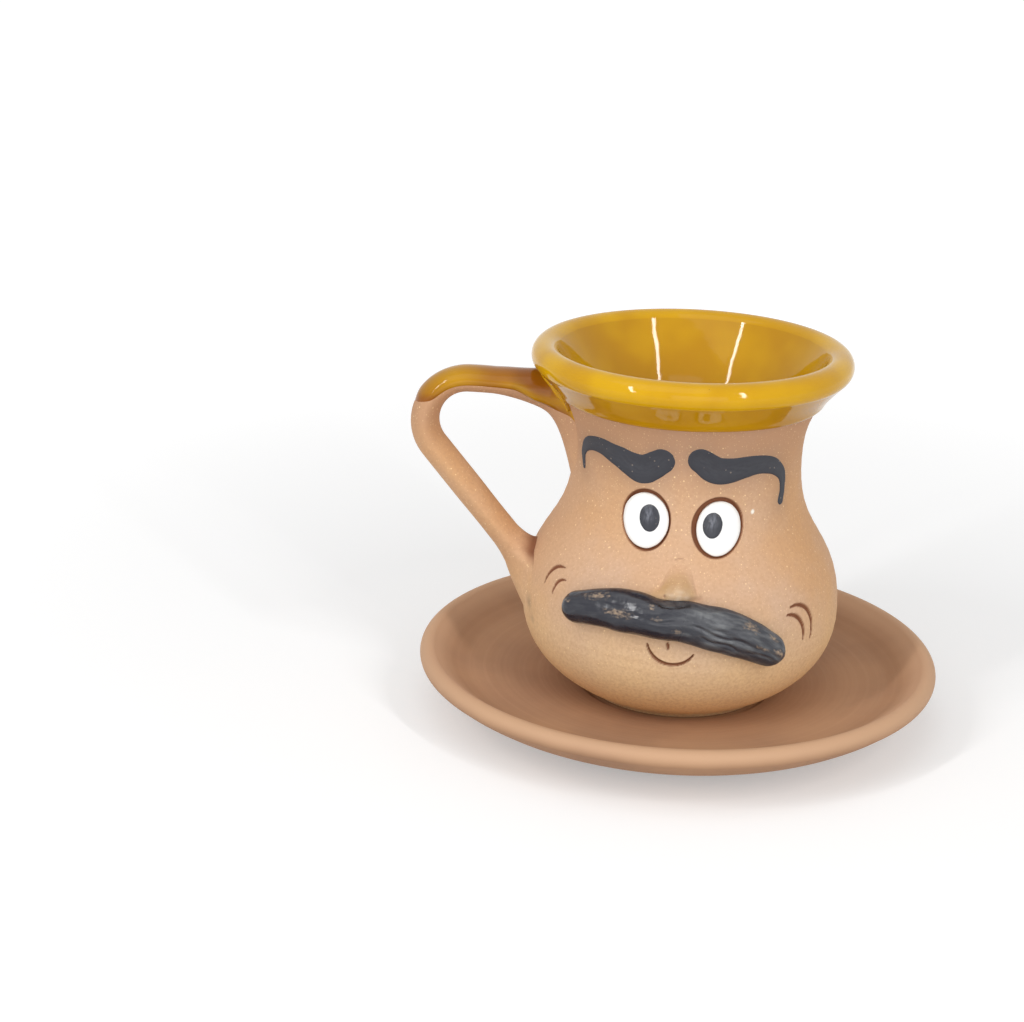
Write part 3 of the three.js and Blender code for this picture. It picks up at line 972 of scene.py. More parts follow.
@dataclass(frozen=True)
class Crease:
    """A line cut into the clay along an arc about a centre on the face."""

    centre: Pair
    radius: float
    start: float
    stop: float
    half_width: float
    depth: float
    end_share: float = 0.45
    end_power: float = 0.7
    dark_depth: float = 0.3
    burr: float = 0.09
    samples: int = 50

    def cut(self, across: Array, drop: Array) -> tuple[Array, Array]:
        """Works out how deep the line is at places on the face.

        Args:
            across: Places round the pot.
            drop: Places below the glaze's edge.

        Returns:
            The cut's depth, and how far a place is inside the line, from 0 to 1.
        """
        depth, inside = np.zeros_like(across), np.zeros_like(across)
        reach = self.radius + 4 * self.half_width
        near = np.hypot(across - self.centre[0], drop - self.centre[1]) < reach
        share = np.linspace(0, 1, self.samples)
        angle = np.radians(self.start + (self.stop - self.start) * share)
        x = self.centre[0] + self.radius * np.cos(angle)
        y = self.centre[1] - self.radius * np.sin(angle)
        fullness = np.sin(math.pi * share) ** self.end_power
        width = self.half_width * (self.end_share + (1 - self.end_share) * fullness)
        gap = np.hypot(across[near][:, None] - x, drop[near][:, None] - y) / width
        closest = gap.min(axis=1)
        inside[near] = min(self.depth / self.dark_depth, 1.0) * (1 - smooth_step(0.75, 1.25, closest))
        burr = self.burr * hump(closest - 1.5, 0.4)
        depth[near] = self.depth * (1 - smooth_step(0.15, 1.1, closest)) - burr
        return depth, inside


@dataclass(frozen=True)
class Stroke:
    """A brush stroke through (across, drop, half width), from its tail to its bulb."""

    name: str
    stations: tuple[Station, ...]
    steps: int = 90
    cap_steps: int = 9
    cap_angles: Pair = (86, 8)
    columns: int = 25
    trace_steps: int = 40
    edge_waver: float = 0.035
    edge_power: int = 9

    def rows(self) -> tuple[Array, Array, Array, Array]:
        """Lays the stroke out with round ends.

        Returns:
            The middle of each row, its direction, half its width, and how far it is out on a round end.
        """
        line = spline(np.array(self.stations), np.linspace(0, 1, self.steps))
        ahead = unit(np.gradient(line[:, :2], axis=0))
        turn = np.radians(np.linspace(*self.cap_angles, self.cap_steps))
        tail, tip = line[0], line[-1]
        tail_middle = tail[:2] - ahead[0] * (tail[2] * np.sin(turn))[:, None]
        tip_middle = tip[:2] + ahead[-1] * (tip[2] * np.sin(turn[::-1]))[:, None]
        middle = np.vstack([tail_middle, line[:, :2], tip_middle])
        ends = [np.tile(way, (self.cap_steps, 1)) for way in (ahead[0], ahead[-1])]
        way = np.vstack([ends[0], ahead, ends[1]])
        half = np.concatenate([tail[2] * np.cos(turn), line[:, 2], tip[2] * np.cos(turn[::-1])])
        out = np.concatenate([np.sin(turn), np.zeros(self.steps), np.sin(turn[::-1])])
        return middle, way, half, out

    def distance(self, across: Array, drop: Array) -> Array:
        """Measures how far places are from the stroke.

        Args:
            across: Places round the pot.
            drop: Places below the glaze's edge.

        Returns:
            The distances, 0 inside the stroke.
        """
        line = spline(np.array(self.stations), np.linspace(0, 1, self.trace_steps))
        gap = np.full(across.shape, np.inf)
        for x, y, half in line:
            gap = np.minimum(gap, np.hypot(across - x, drop - y) - half)
        return np.maximum(gap, 0.0)

    def shell(self, pot: Pot, seat: float, top: float) -> Shell:
        """Lays the stroke on the pot as a thin coat with soft edges.

        Args:
            pot: The pot.
            seat: How far under the clay the coat starts.
            top: How far it stands out of the clay.

        Returns:
            The coat.
        """
        middle, way, half, out = self.rows()
        t = np.sin(np.linspace(-math.pi / 2, math.pi / 2, self.columns))
        run = lengths_along(middle)
        ragged = 1 + self.edge_waver * ripple(1.1 * run[:, None], 2.4 * np.sign(t), 1.3)
        aside = half[:, None] * t * ragged
        across = middle[:, :1] - way[:, 1:] * aside
        drop = middle[:, 1:] + way[:, :1] * aside
        outness = np.sqrt(out[:, None] ** 2 + (1 - out[:, None] ** 2) * t**2)
        lift = (top + seat) * (1 - outness**self.edge_power) - seat
        hidden = np.full_like(lift, -3 * seat)
        made = slab(pot.on_face(across, drop, lift), pot.on_face(across, drop, hidden))
        marks = {Mark.ALONG: np.broadcast_to(run[:, None], aside.shape), Mark.ROUND: aside}
        marks[Mark.WORN_AND_HIGHLIGHT] = np.clip(1 - outness, 0, 1)
        made.marks = {mark: np.tile(values.ravel(), 2) for mark, values in marks.items()}
        return made


OVAL_RINGS = (0.12, 0.25, 0.4, 0.55, 0.68, 0.78, 0.86, 0.92, 0.96, 0.985, 1.0, 0.995, 0.6)
OVAL_COLUMNS = 96
OVAL_EDGE_DROP = 0.10
OVAL_LAST_DROP = 0.05


def oval_coat(
    pot: Pot, place: Pair, half: Pair, seat: float, top: float, crown: float, seed: float
) -> Shell:
    """Lays an oval coat of paint on the face, with a hand-painted edge.

    Args:
        pot: The pot.
        place: The middle, as (across, drop).
        half: Half its width and height.
        seat: The lift of its underside.
        top: The lift of its upper side near the edge.
        crown: How much higher the middle is.
        seed: Makes each edge uneven in its own way.

    Returns:
        The coat.
    """
    angles = np.linspace(0, FULL_TURN, OVAL_COLUMNS, endpoint=False)
    ragged = 1 + 0.012 * ripple(3 * angles, 0 * angles, seed)
    ragged = ragged + 0.010 * ripple(9 * angles, 0 * angles, seed + 2)
    reach = np.array(OVAL_RINGS)[:, None]
    height = top + crown * (1 - reach**2) - OVAL_EDGE_DROP * smooth_step(0.84, 1.0, reach)
    height[-3] -= OVAL_LAST_DROP
    height[-2:] = seat
    across = place[0] + half[0] * reach * ragged * np.cos(angles)
    drop = place[1] - half[1] * reach * ragged * np.sin(angles)
    rings = pot.on_face(across, drop, np.broadcast_to(height, across.shape))
    ends = pot.on_face(np.full(2, place[0]), np.full(2, place[1]), np.array([top + crown, seat]))
    made = tube(rings, *ends)
    edge = np.broadcast_to(smooth_step(0.85, 1.0, reach), across.shape)
    marks = {Mark.ALONG: drop - place[1], Mark.ROUND: across - place[0], Mark.WORN_AND_HIGHLIGHT: edge}
    made.marks = {mark: np.append(values.ravel(), [0, 0]) for mark, values in marks.items()}
    return made


@dataclass(frozen=True)
class Smudge:
    """A smear of soot on the clay."""

    across: float
    drop: float
    reach: float
    strength: float


@dataclass
class Face:
    """The cut and painted face: eyes, brows, and the lines cut into the clay."""

    pot: Pot
    pocket_depth: float = 1.0
    pocket_edge: Pair = (-0.08, 0.28)
    pocket_burr: float = 0.10
    white_seat: float = 0.1
    white_top: float = -0.16
    white_crown: float = 0.14
    white_seed: float = 0.7
    pupil_seat: float = 0.2
    pupil_top: float = 0.06
    pupil_crown: float = 0.16
    pupil_seed: float = 4.1
    brow_seat: float = 0.07
    brow_top: float = 0.16
    spatter_place: Pair = (15.6, 19.4)
    spatter_radius: float = 0.5
    haze_strength: float = 0.36
    haze_reach: float = 2.6
    smudges: tuple[Smudge, ...] = (
        Smudge(-43.5, 46.5, 1.6, 0.6), Smudge(-40.5, 49.5, 1.1, 0.35), Smudge(-42.0, 48.2, 2.6, 0.2),
    )
    eyes: tuple[Eye, ...] = (
        Eye("left", (-8.3, 21.1), (5.6, 6.4), 0.2, 0.5, 0.9, 0.6, (-7.4, 20.8), (2.3, 2.9)),
        Eye("right", (7.6, 21.9), (5.8, 6.3), 1.1, 0.5, 1.0, 0.5, (6.4, 21.6), (2.2, 2.7)),
    )
    brows: tuple[Stroke, ...] = (
        Stroke("left", (
            (-27.0, 14.0, 0.5), (-27.6, 10.9, 1.1), (-25.6, 8.3, 1.7), (-21.0, 7.4, 2.0),
            (-15.6, 8.6, 2.6), (-9.6, 10.3, 3.4), (-5.3, 8.0, 3.0),
        )),
        Stroke("right", (
            (24.0, 18.4, 1.0), (24.5, 15.4, 1.0), (23.7, 12.3, 1.5), (20.2, 9.8, 2.0),
            (15.2, 9.0, 2.4), (7.4, 9.7, 3.2), (3.0, 7.2, 2.9),
        )),
    )
    creases: tuple[Crease, ...] = (
        Crease((-0.9, 44.6), 5.5, 192, 327, half_width=0.44, depth=0.7),
        Crease((-28.5, 42.4), 7.7, 92, 160, half_width=0.36, depth=0.4),
        Crease((-27.5, 41.4), 4.5, 95, 172, half_width=0.32, depth=0.3),
        Crease((27.8, 45.5), 6.2, -23, 102, half_width=0.48, depth=0.5),
        Crease((25.6, 46.4), 5.5, -10, 90, half_width=0.48, depth=0.5),
        Crease((-4.2, 46.0), 2.4, -14, 22, half_width=0.34, depth=0.4),
        Crease((-0.2, 31.2), 2.9, 72, 112, half_width=0.14, depth=0.12),
    )

    def carving(self, across: Array, drop: Array) -> tuple[Array, dict[Mark, Array]]:
        """Cuts the pockets and creases into the clay.

        Args:
            across: Places round the pot.
            drop: Places below the glaze's edge.

        Returns:
            How far each place is cut in, and the marks for the clay's finish.
        """
        depth, inside = np.zeros_like(across), np.zeros_like(across)
        for crease in self.creases:
            cut, in_line = crease.cut(across, drop)
            depth, inside = np.where(np.abs(cut) > np.abs(depth), cut, depth), np.maximum(inside, in_line)
        for eye in self.eyes:
            x, y = (across - eye.place[0]) / eye.half_size[0], (drop - eye.place[1]) / eye.half_size[1]
            gap = (1 - np.hypot(x, y)) * min(eye.half_size)
            burr = self.pocket_burr * hump(gap + 0.3, 0.28)
            pocket = self.pocket_depth * smooth_step(*self.pocket_edge, gap) - burr
            depth = np.where(gap > -0.8, np.maximum(depth, 0) + pocket, depth)
            inside = np.maximum(inside, smooth_step(-0.16, 0.06, gap))
        haze = np.zeros_like(across)
        for brow in self.brows:
            fading = np.exp(-brow.distance(across, drop) / self.haze_reach)
            haze = np.maximum(haze, self.haze_strength * fading)
        for smudge in self.smudges:
            gap = np.hypot(across - smudge.across, drop - smudge.drop)
            haze = np.maximum(haze, smudge.strength * hump(gap, smudge.reach))
        spot = np.hypot(across - self.spatter_place[0], drop - self.spatter_place[1])
        spatter = 1 - smooth_step(0.7, 1.1, spot / self.spatter_radius)
        return depth, {Mark.INCISION_AND_SHADE: inside, Mark.HAZE_AND_SHEEN: haze, Mark.SPATTER: spatter}

    def build(self, white: Material, pupil: Material, brow: Material) -> None:
        """Makes the eyes and the brows.

        Args:
            white: Finish of the whites.
            pupil: Finish of the pupils.
            brow: Finish of the brows.
        """
        for number, eye in enumerate(self.eyes):
            seat = -self.pocket_depth - self.white_seat
            coat = oval_coat(self.pot, eye.white_place(), eye.white_half(), seat,
                             self.white_top, self.white_crown, self.white_seed + number)
            node = f"eye_white_{eye.name}"
            Piece(f"{eye.name}_eye_white", node, Body.CUP, Slot.WHITE, coat, white).build()
            seat = self.white_top - self.pupil_seat
            coat = oval_coat(self.pot, eye.pupil_place, eye.pupil_half, seat,
                             self.pupil_top, self.pupil_crown, self.pupil_seed + number)
            # Painted highlight: a pale smear at the top middle of each pupil.
            sheen = hump(coat.marks[Mark.ROUND] + 0.3, 1.0) * hump(coat.marks[Mark.ALONG] + 0.9, 1.5)
            coat.marks[Mark.WORN_AND_HIGHLIGHT] = sheen
            Piece(f"{eye.name}_pupil", f"pupil_{eye.name}", Body.CUP, Slot.BLACK, coat, pupil).build()
        for stroke in self.brows:
            coat = stroke.shell(self.pot, self.brow_seat, self.brow_top)
            Piece(f"{stroke.name}_brow", f"brow_{stroke.name}", Body.CUP, Slot.BLACK, coat, brow).build()


# The cup's clay and what is pressed on to it


@dataclass
class CupBody:
    """The pot itself, with a fine mesh where the face is cut into it."""

    pot: Pot
    face: Face
    face_half: float = math.radians(66)
    fine_angle: float = math.radians(0.42)
    coarse_angle: float = math.radians(3)
    face_low: float = 16.0
    face_high: float = 55.0
    fine_rise: float = 0.25
    coarse_rise: float = 1.1
    base_shares: tuple[float, ...] = (0.1, 0.3, 0.55, 0.8, 0.93, 0.985, 1.0)
    base_waver: float = 0.02
    base_worn: float = 18.0
    bevel: tuple[Pair, ...] = ((0.35, 0.12), (0.65, 0.4))
    bead_steps: int = 14
    hollow_step: int = 7

    def angles(self) -> Array:
        """Spaces the mesh's columns, close together over the face.

        Returns:
            Their angles round from the middle of the face.
        """
        front = np.arange(-self.face_half, self.face_half, self.fine_angle)
        steps = round((FULL_TURN - 2 * self.face_half) / self.coarse_angle)
        back = np.linspace(self.face_half, FULL_TURN - self.face_half, steps, endpoint=False)
        return np.concatenate([front, back])

    def heights(self) -> Array:
        """Spaces the mesh's rows, close together over the face.

        Returns:
            Their heights above the foot.
        """
        pot = self.pot
        low = np.arange(pot.foot_bevel, self.face_low, self.coarse_rise)
        middle = np.arange(self.face_low, self.face_high, self.fine_rise)
        high = np.arange(self.face_high, pot.outside[-1, 1], self.coarse_rise)
        return np.concatenate([low, middle, high])

    def build(self, clay: Material) -> None:
        """Makes the pot.

        Args:
            clay: Its finish.
        """
        pot = self.pot
        angles, heights = self.angles()[None, :], self.heights()[:, None]
        signed = np.where(angles > math.pi, angles - FULL_TURN, angles)
        across, drop = np.broadcast_arrays(signed * pot.radius(heights), pot.glaze_edge - heights)
        cut, marks = self.face.carving(across, drop)
        side = pot.on_wall(angles, heights, -cut)

        base_reach = np.array(self.base_shares) * pot.foot_radius
        waver = self.base_waver * np.sin(0.9 * base_reach) * (base_reach < self.base_worn)
        base = np.stack([base_reach, waver], axis=-1)
        edge = np.array([[pot.foot_radius + out, up] for out, up in self.bevel])
        bead_angles = np.linspace(pot.lip_outer, pot.lip_inner, self.bead_steps)[:-1]
        bead = np.array([pot.lip_point(a) for a in bead_angles])
        hollow = pot.inside[::-self.hollow_step]
        under = pot.turned(np.vstack([base, edge]), angles)
        over = pot.turned(np.vstack([bead, hollow[hollow[:, 0] > 1]]), angles)
        rings = np.concatenate([under, side, over])
        ends = pot.turned(np.array([[0, 0], [0, pot.floor]]), np.zeros((1, 1)))[:, 0]
        shell = tube(rings, *ends)
        before, after = len(under) * angles.size, len(over) * angles.size + 2
        shell.marks = {m: np.pad(values.ravel(), (before, after)) for m, values in marks.items()}
        Piece("thrown_pot", "cup_body", Body.CUP, Slot.CUP_CLAY, shell, clay).build()


@dataclass
class Nose:
    """A small nose drawn up out of the clay, with its edges smoothed away into the pot."""

    pot: Pot
    base: Pair = (-0.6, 36.4)
    length: float = 7.9
    bulge: float = 3.0
    bridge_width: float = 1.5
    base_width: float = 3.9
    lean: float = 0.6
    wing: float = 0.75
    wing_place: Pair = (-4.6, 0.9)
    wing_radius: float = 1.6
    crease_ends: Pair = (2.6, 6.2)
    crease_rise: float = 0.16
    side_dip: float = 0.35
    pit_place: Pair = (-2.4, 0.8)
    seat: float = 0.10
    half_width: float = 8.0
    below: float = 2.2
    side_fade: float = 1.6
    top_fade: float = 0.9
    crease_depth: float = 0.25
    pit_depth: float = 0.3
    pit_radius: float = 0.28
    lumpiness: float = 0.10
    steps: int = 110

    def beside_ridge(self, x: Array, up: Array) -> tuple[Array, Array]:
        """Returns how far places are beside the leaning ridge, and the ridge's width there."""
        share = np.clip(up / self.length, 0, 1)
        return x - self.lean * share, self.base_width + (self.bridge_width - self.base_width) * share

    def relief(self, x: Array, up: Array) -> tuple[Array, Array, Array]:
        """Shapes the nose.

        Args:
            x: Places to the right of the nose's middle.
            up: Places above its base.

        Returns:
            How far each place stands out, the small pit, and the crease under the right side.
        """
        aside, width = self.beside_ridge(x, up)
        ridge = (1 - smooth_step(0.12, 1.0, up / self.length)) * smooth_step(-1.9, 1.0, up)
        high = self.bulge * ridge * np.exp(-np.abs(aside / width) ** 1.9)
        wing = np.hypot(x - self.wing_place[0], 1.2 * (up - self.wing_place[1]))
        high = high + self.wing * hump(wing, self.wing_radius)
        for side in (-1, 1):
            groove = hump(aside - side * 1.25 * width, 0.5) * hump(up - 3.4, 2.0)
            high = high - self.side_dip * groove
        first, last = self.crease_ends
        crease = hump(up - 0.4 - self.crease_rise * (x - first), 0.5)
        crease = crease * smooth_step(first - 0.6, first + 0.4, x) * smooth_step(last, last - 1.4, x)
        high = high - self.crease_depth * crease
        high = high * (1 + self.lumpiness * ripple(1.1 * x, 1.1 * up, 2.0))
        pit = hump(np.hypot(x - self.pit_place[0], up - self.pit_place[1]), self.pit_radius)
        high = high - self.pit_depth * pit
        fade = smooth_step(self.half_width, self.half_width - self.side_fade, np.abs(x))
        fade = fade * smooth_step(self.length, self.length - self.top_fade, up)
        return high * fade, pit, crease

    def tints(self, x: Array, up: Array, high: Array) -> tuple[Array, Array]:
        """Colours the nose.

        Args:
            x: Places to the right of the nose's middle.
            up: Places above its base.
            high: How far each place stands out.

        Returns:
            The yellow-brown wash, with painted shade down the two flanks, and the pale, speckled tip.
        """
        aside, width = self.beside_ridge(x, up)
        soft = smooth_step(0.1, 1.6, high)
        # Painted shade: more of the wash down both flanks, where the nose's sides turn from the light.
        left = hump(aside + width, 1.0) * smooth_step(0.6, 2.6, up) * smooth_step(7.0, 4.0, up) * soft
        right = hump(aside - 0.7 * width, 1.2) * smooth_step(0.2, 2.0, up)
        right = right * smooth_step(7.2, 3.4, up) * soft
        whole = soft * smooth_step(self.length, 3.0, up)
        ochre_and_shade = (0.72 * whole + 0.3 * left + 0.2 * right) * (0.85 + 0.3 * ripple(0.5 * x, 0.7 * up, 1.0))
        speckle = 0.7 + 0.5 * ripple(3.1 * x, 4.3 * up, 0.2)
        cream = (0.03 + 0.26 * smooth_step(3.4, 0.6, up)) * smooth_step(5.6, 3.4, up) * speckle
        cream = cream * hump(x - 0.4, 2.8) * smooth_step(-1.4, 0.2, up) * soft
        return ochre_and_shade, cream

    def build(self, clay: Material) -> None:
        """Makes the nose.

        Args:
            clay: Its finish.
        """
        sideways = np.linspace(-self.half_width, self.half_width, self.steps)
        x, up = np.meshgrid(sideways, np.linspace(-self.below, self.length, self.steps))
        high, pit, crease = self.relief(x, up)
        ochre_and_shade, cream = self.tints(x, up, high)
        across, drop = self.base[0] + x, self.base[1] - up
        made = slab(self.pot.on_face(across, drop, high - self.seat),
                    self.pot.on_face(across, drop, np.full_like(x, -4 * self.seat)))
        # Painted shade: the crease under the nose's right wing is darkened through the incision mark.
        marks = {Mark.OCHRE_AND_SHADE: ochre_and_shade, Mark.INCISION_AND_SHADE: 0.8 * pit + 0.3 * crease, Mark.SPATTER: cream}
        made.marks = {mark: np.tile(np.clip(values, 0, 1).ravel(), 2) for mark, values in marks.items()}
        Piece("pinched_nose", "nose", Body.CUP, Slot.CUP_CLAY, made, clay).build()


@dataclass(frozen=True)
class Wrinkle:
    """A lengthwise fold in the moustache, from one place to another."""

    start: float
    stop: float
    level: float
    level_end: float
    depth: float
    width: float


@dataclass(frozen=True)
class Rub:
    """A patch on the moustache where its paint is rubbed thin; one of them is used for a painted sheen
    instead.
    """

    across: float
    level: float
    half_length: float
    half_height: float
    strength: float


@dataclass
class Moustache:
    """A roll of clay pressed across the belly, through (across, drop, half its height)."""

    pot: Pot
    bulge: float = 4.6
    lobe_swell: float = 0.9
    lift: float = 1.4
    end_length: float = 3.2
    end_roundness: float = 0.96
    rings: int = 210
    sides: int = 160
    smoothing: int = 17
    lobe_smoothing: int = 11
    stations: tuple[Station, ...] = (
        (-25.5, 41.8, 3.3), (-18.6, 39.9, 3.9), (-9.8, 39.2, 4.7), (-4.4, 40.0, 4.3), (0.8, 39.9, 4.4),
        (6.8, 41.3, 4.8), (13.0, 43.2, 4.6), (18.8, 46.2, 3.9), (23.1, 48.5, 3.0),
    )
    wrinkles: tuple[Wrinkle, ...] = (
        Wrinkle(0.52, 0.80, -0.10, -0.28, 0.28, 0.40),
        Wrinkle(0.60, 0.99, 0.02, -0.30, 0.18, 0.45),
        Wrinkle(0.57, 0.76, -0.45, -0.62, 0.26, 0.35),
        Wrinkle(0.62, 0.95, 0.38, 0.24, 0.12, 0.50),
        Wrinkle(0.76, 0.99, -0.45, -0.52, 0.18, 0.35),
        Wrinkle(0.47, 0.70, 0.16, 0.08, 0.14, 0.40),
        Wrinkle(0.24, 0.50, -0.05, -0.12, 0.16, 0.50),
        Wrinkle(0.10, 0.34, 0.34, 0.20, 0.12, 0.60),
    )
    rubs: tuple[Rub, ...] = (
        Rub(-16.5, 0.66, 3.3, 1.1, 0.95),
        Rub(-11.4, -0.09, 3.9, 1.1, 1.0),
        Rub(-5.4, 0.55, 0.9, 0.8, 0.9),
        Rub(-3.9, 0.04, 1.2, 0.9, 0.85),
        Rub(0.5, -0.50, 1.7, 0.65, 0.85),
        Rub(13.5, 0.67, 2.2, 1.6, 0.9),
        Rub(18.6, 0.68, 1.4, 1.0, 0.85),
        Rub(16.8, -0.03, 1.8, 0.65, 0.9),
        Rub(20.4, 0.10, 1.5, 1.0, 1.0),
        Rub(-22.7, 0.50, 0.9, 0.8, 0.8),
    )
    sheen_patch: Rub = Rub(5.1, 0.60, 3.2, 1.8, 0.6)
    notch_place: float = -1.1
    notch_depth: float = 0.05
    notch_width: float = 3.4
    facet_half: float = 3.2
    facet_cut: float = 0.24
    facet_power: float = 1.6
    facet_lean: float = math.radians(34)
    line_depth: float = 0.12
    line_width: float = 0.08
    fold_waver: float = 0.06
    fold_ridge: float = 0.45
    lump: float = 0.22
    small_lump: float = 0.10
    dent: float = 0.2
    dent_place: float = 0.38
    dent_length: float = 0.08
    lobe_rise: Pair = (-13.5, -5.2)
    lobe_fall: Pair = (-4.8, 0.8)
    facet_sheen: float = 0.35

    def folds(self, share: Array, level: Array, half: Array) -> Array:
        """Adds up the wrinkles.

        Args:
            share: Place along the roll, from 0 to 1.
            level: Place up the roll, from -1 to 1.
            half: Half the roll's height.

        Returns:
            How far each place is pressed in.
        """
        pressed = np.zeros(np.broadcast(share, level).shape)
        for number, fold in enumerate(self.wrinkles):
            t = (share - fold.start) / (fold.stop - fold.start)
            middle = fold.level + (fold.level_end - fold.level) * t
            middle = middle + self.fold_waver * np.sin(9 * t + number)
            ends = smooth_step(0, 0.2, t) * (1 - smooth_step(0.75, 1, t))
            gap = (level - middle) * half
            crossed = hump(gap, fold.width) - self.fold_ridge * hump(gap - 0.8, 0.55)
            pressed = pressed + fold.depth * ends * crossed
        return pressed

    def lumps(self, share: Array, run: Array, level: Array) -> Array:
        """Adds up the roll's soft unevenness and the small dents left of its middle.

        Args:
            share: Place along the roll, from 0 to 1.
            run: The same place, as a length.
            level: Place up the roll, from -1 to 1.

        Returns:
            How far each place stands out.
        """
        soft = self.lump * ripple(0.55 * run, 2.2 * level, 0.4)
        soft = soft + self.small_lump * ripple(0.9 * run, 5.0 * level, 1.9)
        dents = ripple(0.55 * run, 7.0 * level, 0.7) * ripple(0.35 * run, 11.0 * level, 2.1)
        return soft + self.dent * hump(share - self.dent_place, self.dent_length) * dents

    def faceted(self, across: Array, high: Array, deep: Array) -> tuple[Array, Array, Array, Array]:
        """Presses a flat, lens-shaped facet into the upper edge, under the nose.

        Args:
            across: Place of each ring round the pot.
            high: Places up the roll.
            deep: Places out of the pot.

        Returns:
            The new places up and out, the dark line along the facet's lower edge, and the facet.
        """
        lens = np.maximum(1 - ((across - self.notch_place) / self.facet_half) ** 2, 0)[:, None]
        up, out = math.cos(self.facet_lean), math.sin(self.facet_lean)
        reach, down = high * up + deep * out, deep * up - high * out
        flat = reach.max(axis=1, keepdims=True) - self.facet_cut * lens**self.facet_power
        top = np.take_along_axis(down, reach.argmax(axis=1)[:, None], axis=1)
        over = np.maximum(reach - flat, 0)
        line = smooth_step(0, 0.2, lens) * hump(reach - flat + 0.02, self.line_width) * (down > top)
        pressed = over + self.line_depth * line
        return high - pressed * up, deep - pressed * out, line, smooth_step(0, 0.12, over)

    @staticmethod
    def spread(rub: Rub, across: Array, level: Array, half: Array) -> Array:
        """Returns how strongly a patch, a rubbed place or the painted sheen, shows at places on the roll.
        """
        up = (level - rub.level) * half / rub.half_height
        return rub.strength * hump(np.hypot((across - rub.across) / rub.half_length, up), 1.0)

    def build(self, paint: Material) -> None:
        """Makes the moustache.

        Args:
            paint: Its finish.
        """
        share = (1 - np.cos(math.pi * np.linspace(0.004, 0.996, self.rings))) / 2
        line = smoothed(spline(np.array(self.stations), share), self.smoothing)
        across, drop, half = line.T
        run = lengths_along(line[:, :2])
        to_end = np.minimum(run, run[-1] - run)
        near_end = np.maximum(1 - to_end / self.end_length, 0) * self.end_roundness
        full = np.sqrt(1 - near_end**2)
        out, round_it, up = self.pot.face_axes(across, drop)
        way = np.gradient(line[:, :2], axis=0)
        travel = unit(round_it * way[:, :1] - up * way[:, 1:])
        aside = np.cross(out, travel)

        angle = np.linspace(0, FULL_TURN, self.sides, endpoint=False)
        level = np.cos(angle)[None, :]
        pressed = self.folds(share[:, None], level, half[:, None]) * full[:, None]
        notch = self.notch_depth * hump(across - self.notch_place, self.notch_width)[:, None]
        pressed = pressed + notch * smooth_step(0.55, 0.95, level)
        swell = self.lumps(share[:, None], run[:, None], level) * full[:, None] - pressed
        high = (half * full)[:, None] * np.cos(angle) + swell * np.cos(angle)
        lobe = smooth_step(*self.lobe_rise, across) - smooth_step(*self.lobe_fall, across)
        lobe = smoothed(self.lobe_swell * lobe[:, None], self.lobe_smoothing)[:, 0]
        deep = ((self.bulge - self.lift + lobe) * full)[:, None] * np.sin(angle)
        deep = deep + swell * np.maximum(np.sin(angle), 0)
        high, deep, dark_line, facet = self.faceted(across, high, deep)
        middle = self.pot.on_face(across, drop, np.full_like(across, self.lift))
        rings = middle[:, None] + aside[:, None] * high[..., None] + out[:, None] * deep[..., None]
        shell = tube(rings, rings[0].mean(axis=0), rings[-1].mean(axis=0))
        front = smooth_step(0.1, 0.7, np.sin(angle))[None, :]
        places = across[:, None], level, half[:, None]
        worn = front * np.max([self.spread(rub, *places) for rub in self.rubs], axis=0)
        # Painted sheen: the patch right of the nose, and the facet under the nose made paler where it
        # faces up.
        pale = front * self.spread(self.sheen_patch, *places)
        marks = {
            Mark.WORN_AND_HIGHLIGHT: worn,
            Mark.HAZE_AND_SHEEN: np.maximum(pale, self.facet_sheen * facet),
            Mark.INCISION_AND_SHADE: 0.9 * dark_line,
            Mark.ALONG: np.broadcast_to(run[:, None], worn.shape),
            Mark.ROUND: np.broadcast_to(half[:, None] * (angle - math.pi / 2), worn.shape),
        }
        shell.marks = {m: np.append(v.ravel(), [v.flat[0], v.flat[-1]]) for m, v in marks.items()}
        Piece("rolled_moustache", "moustache", Body.CUP, Slot.BLACK, shell, paint).build()


# The handle and the glaze


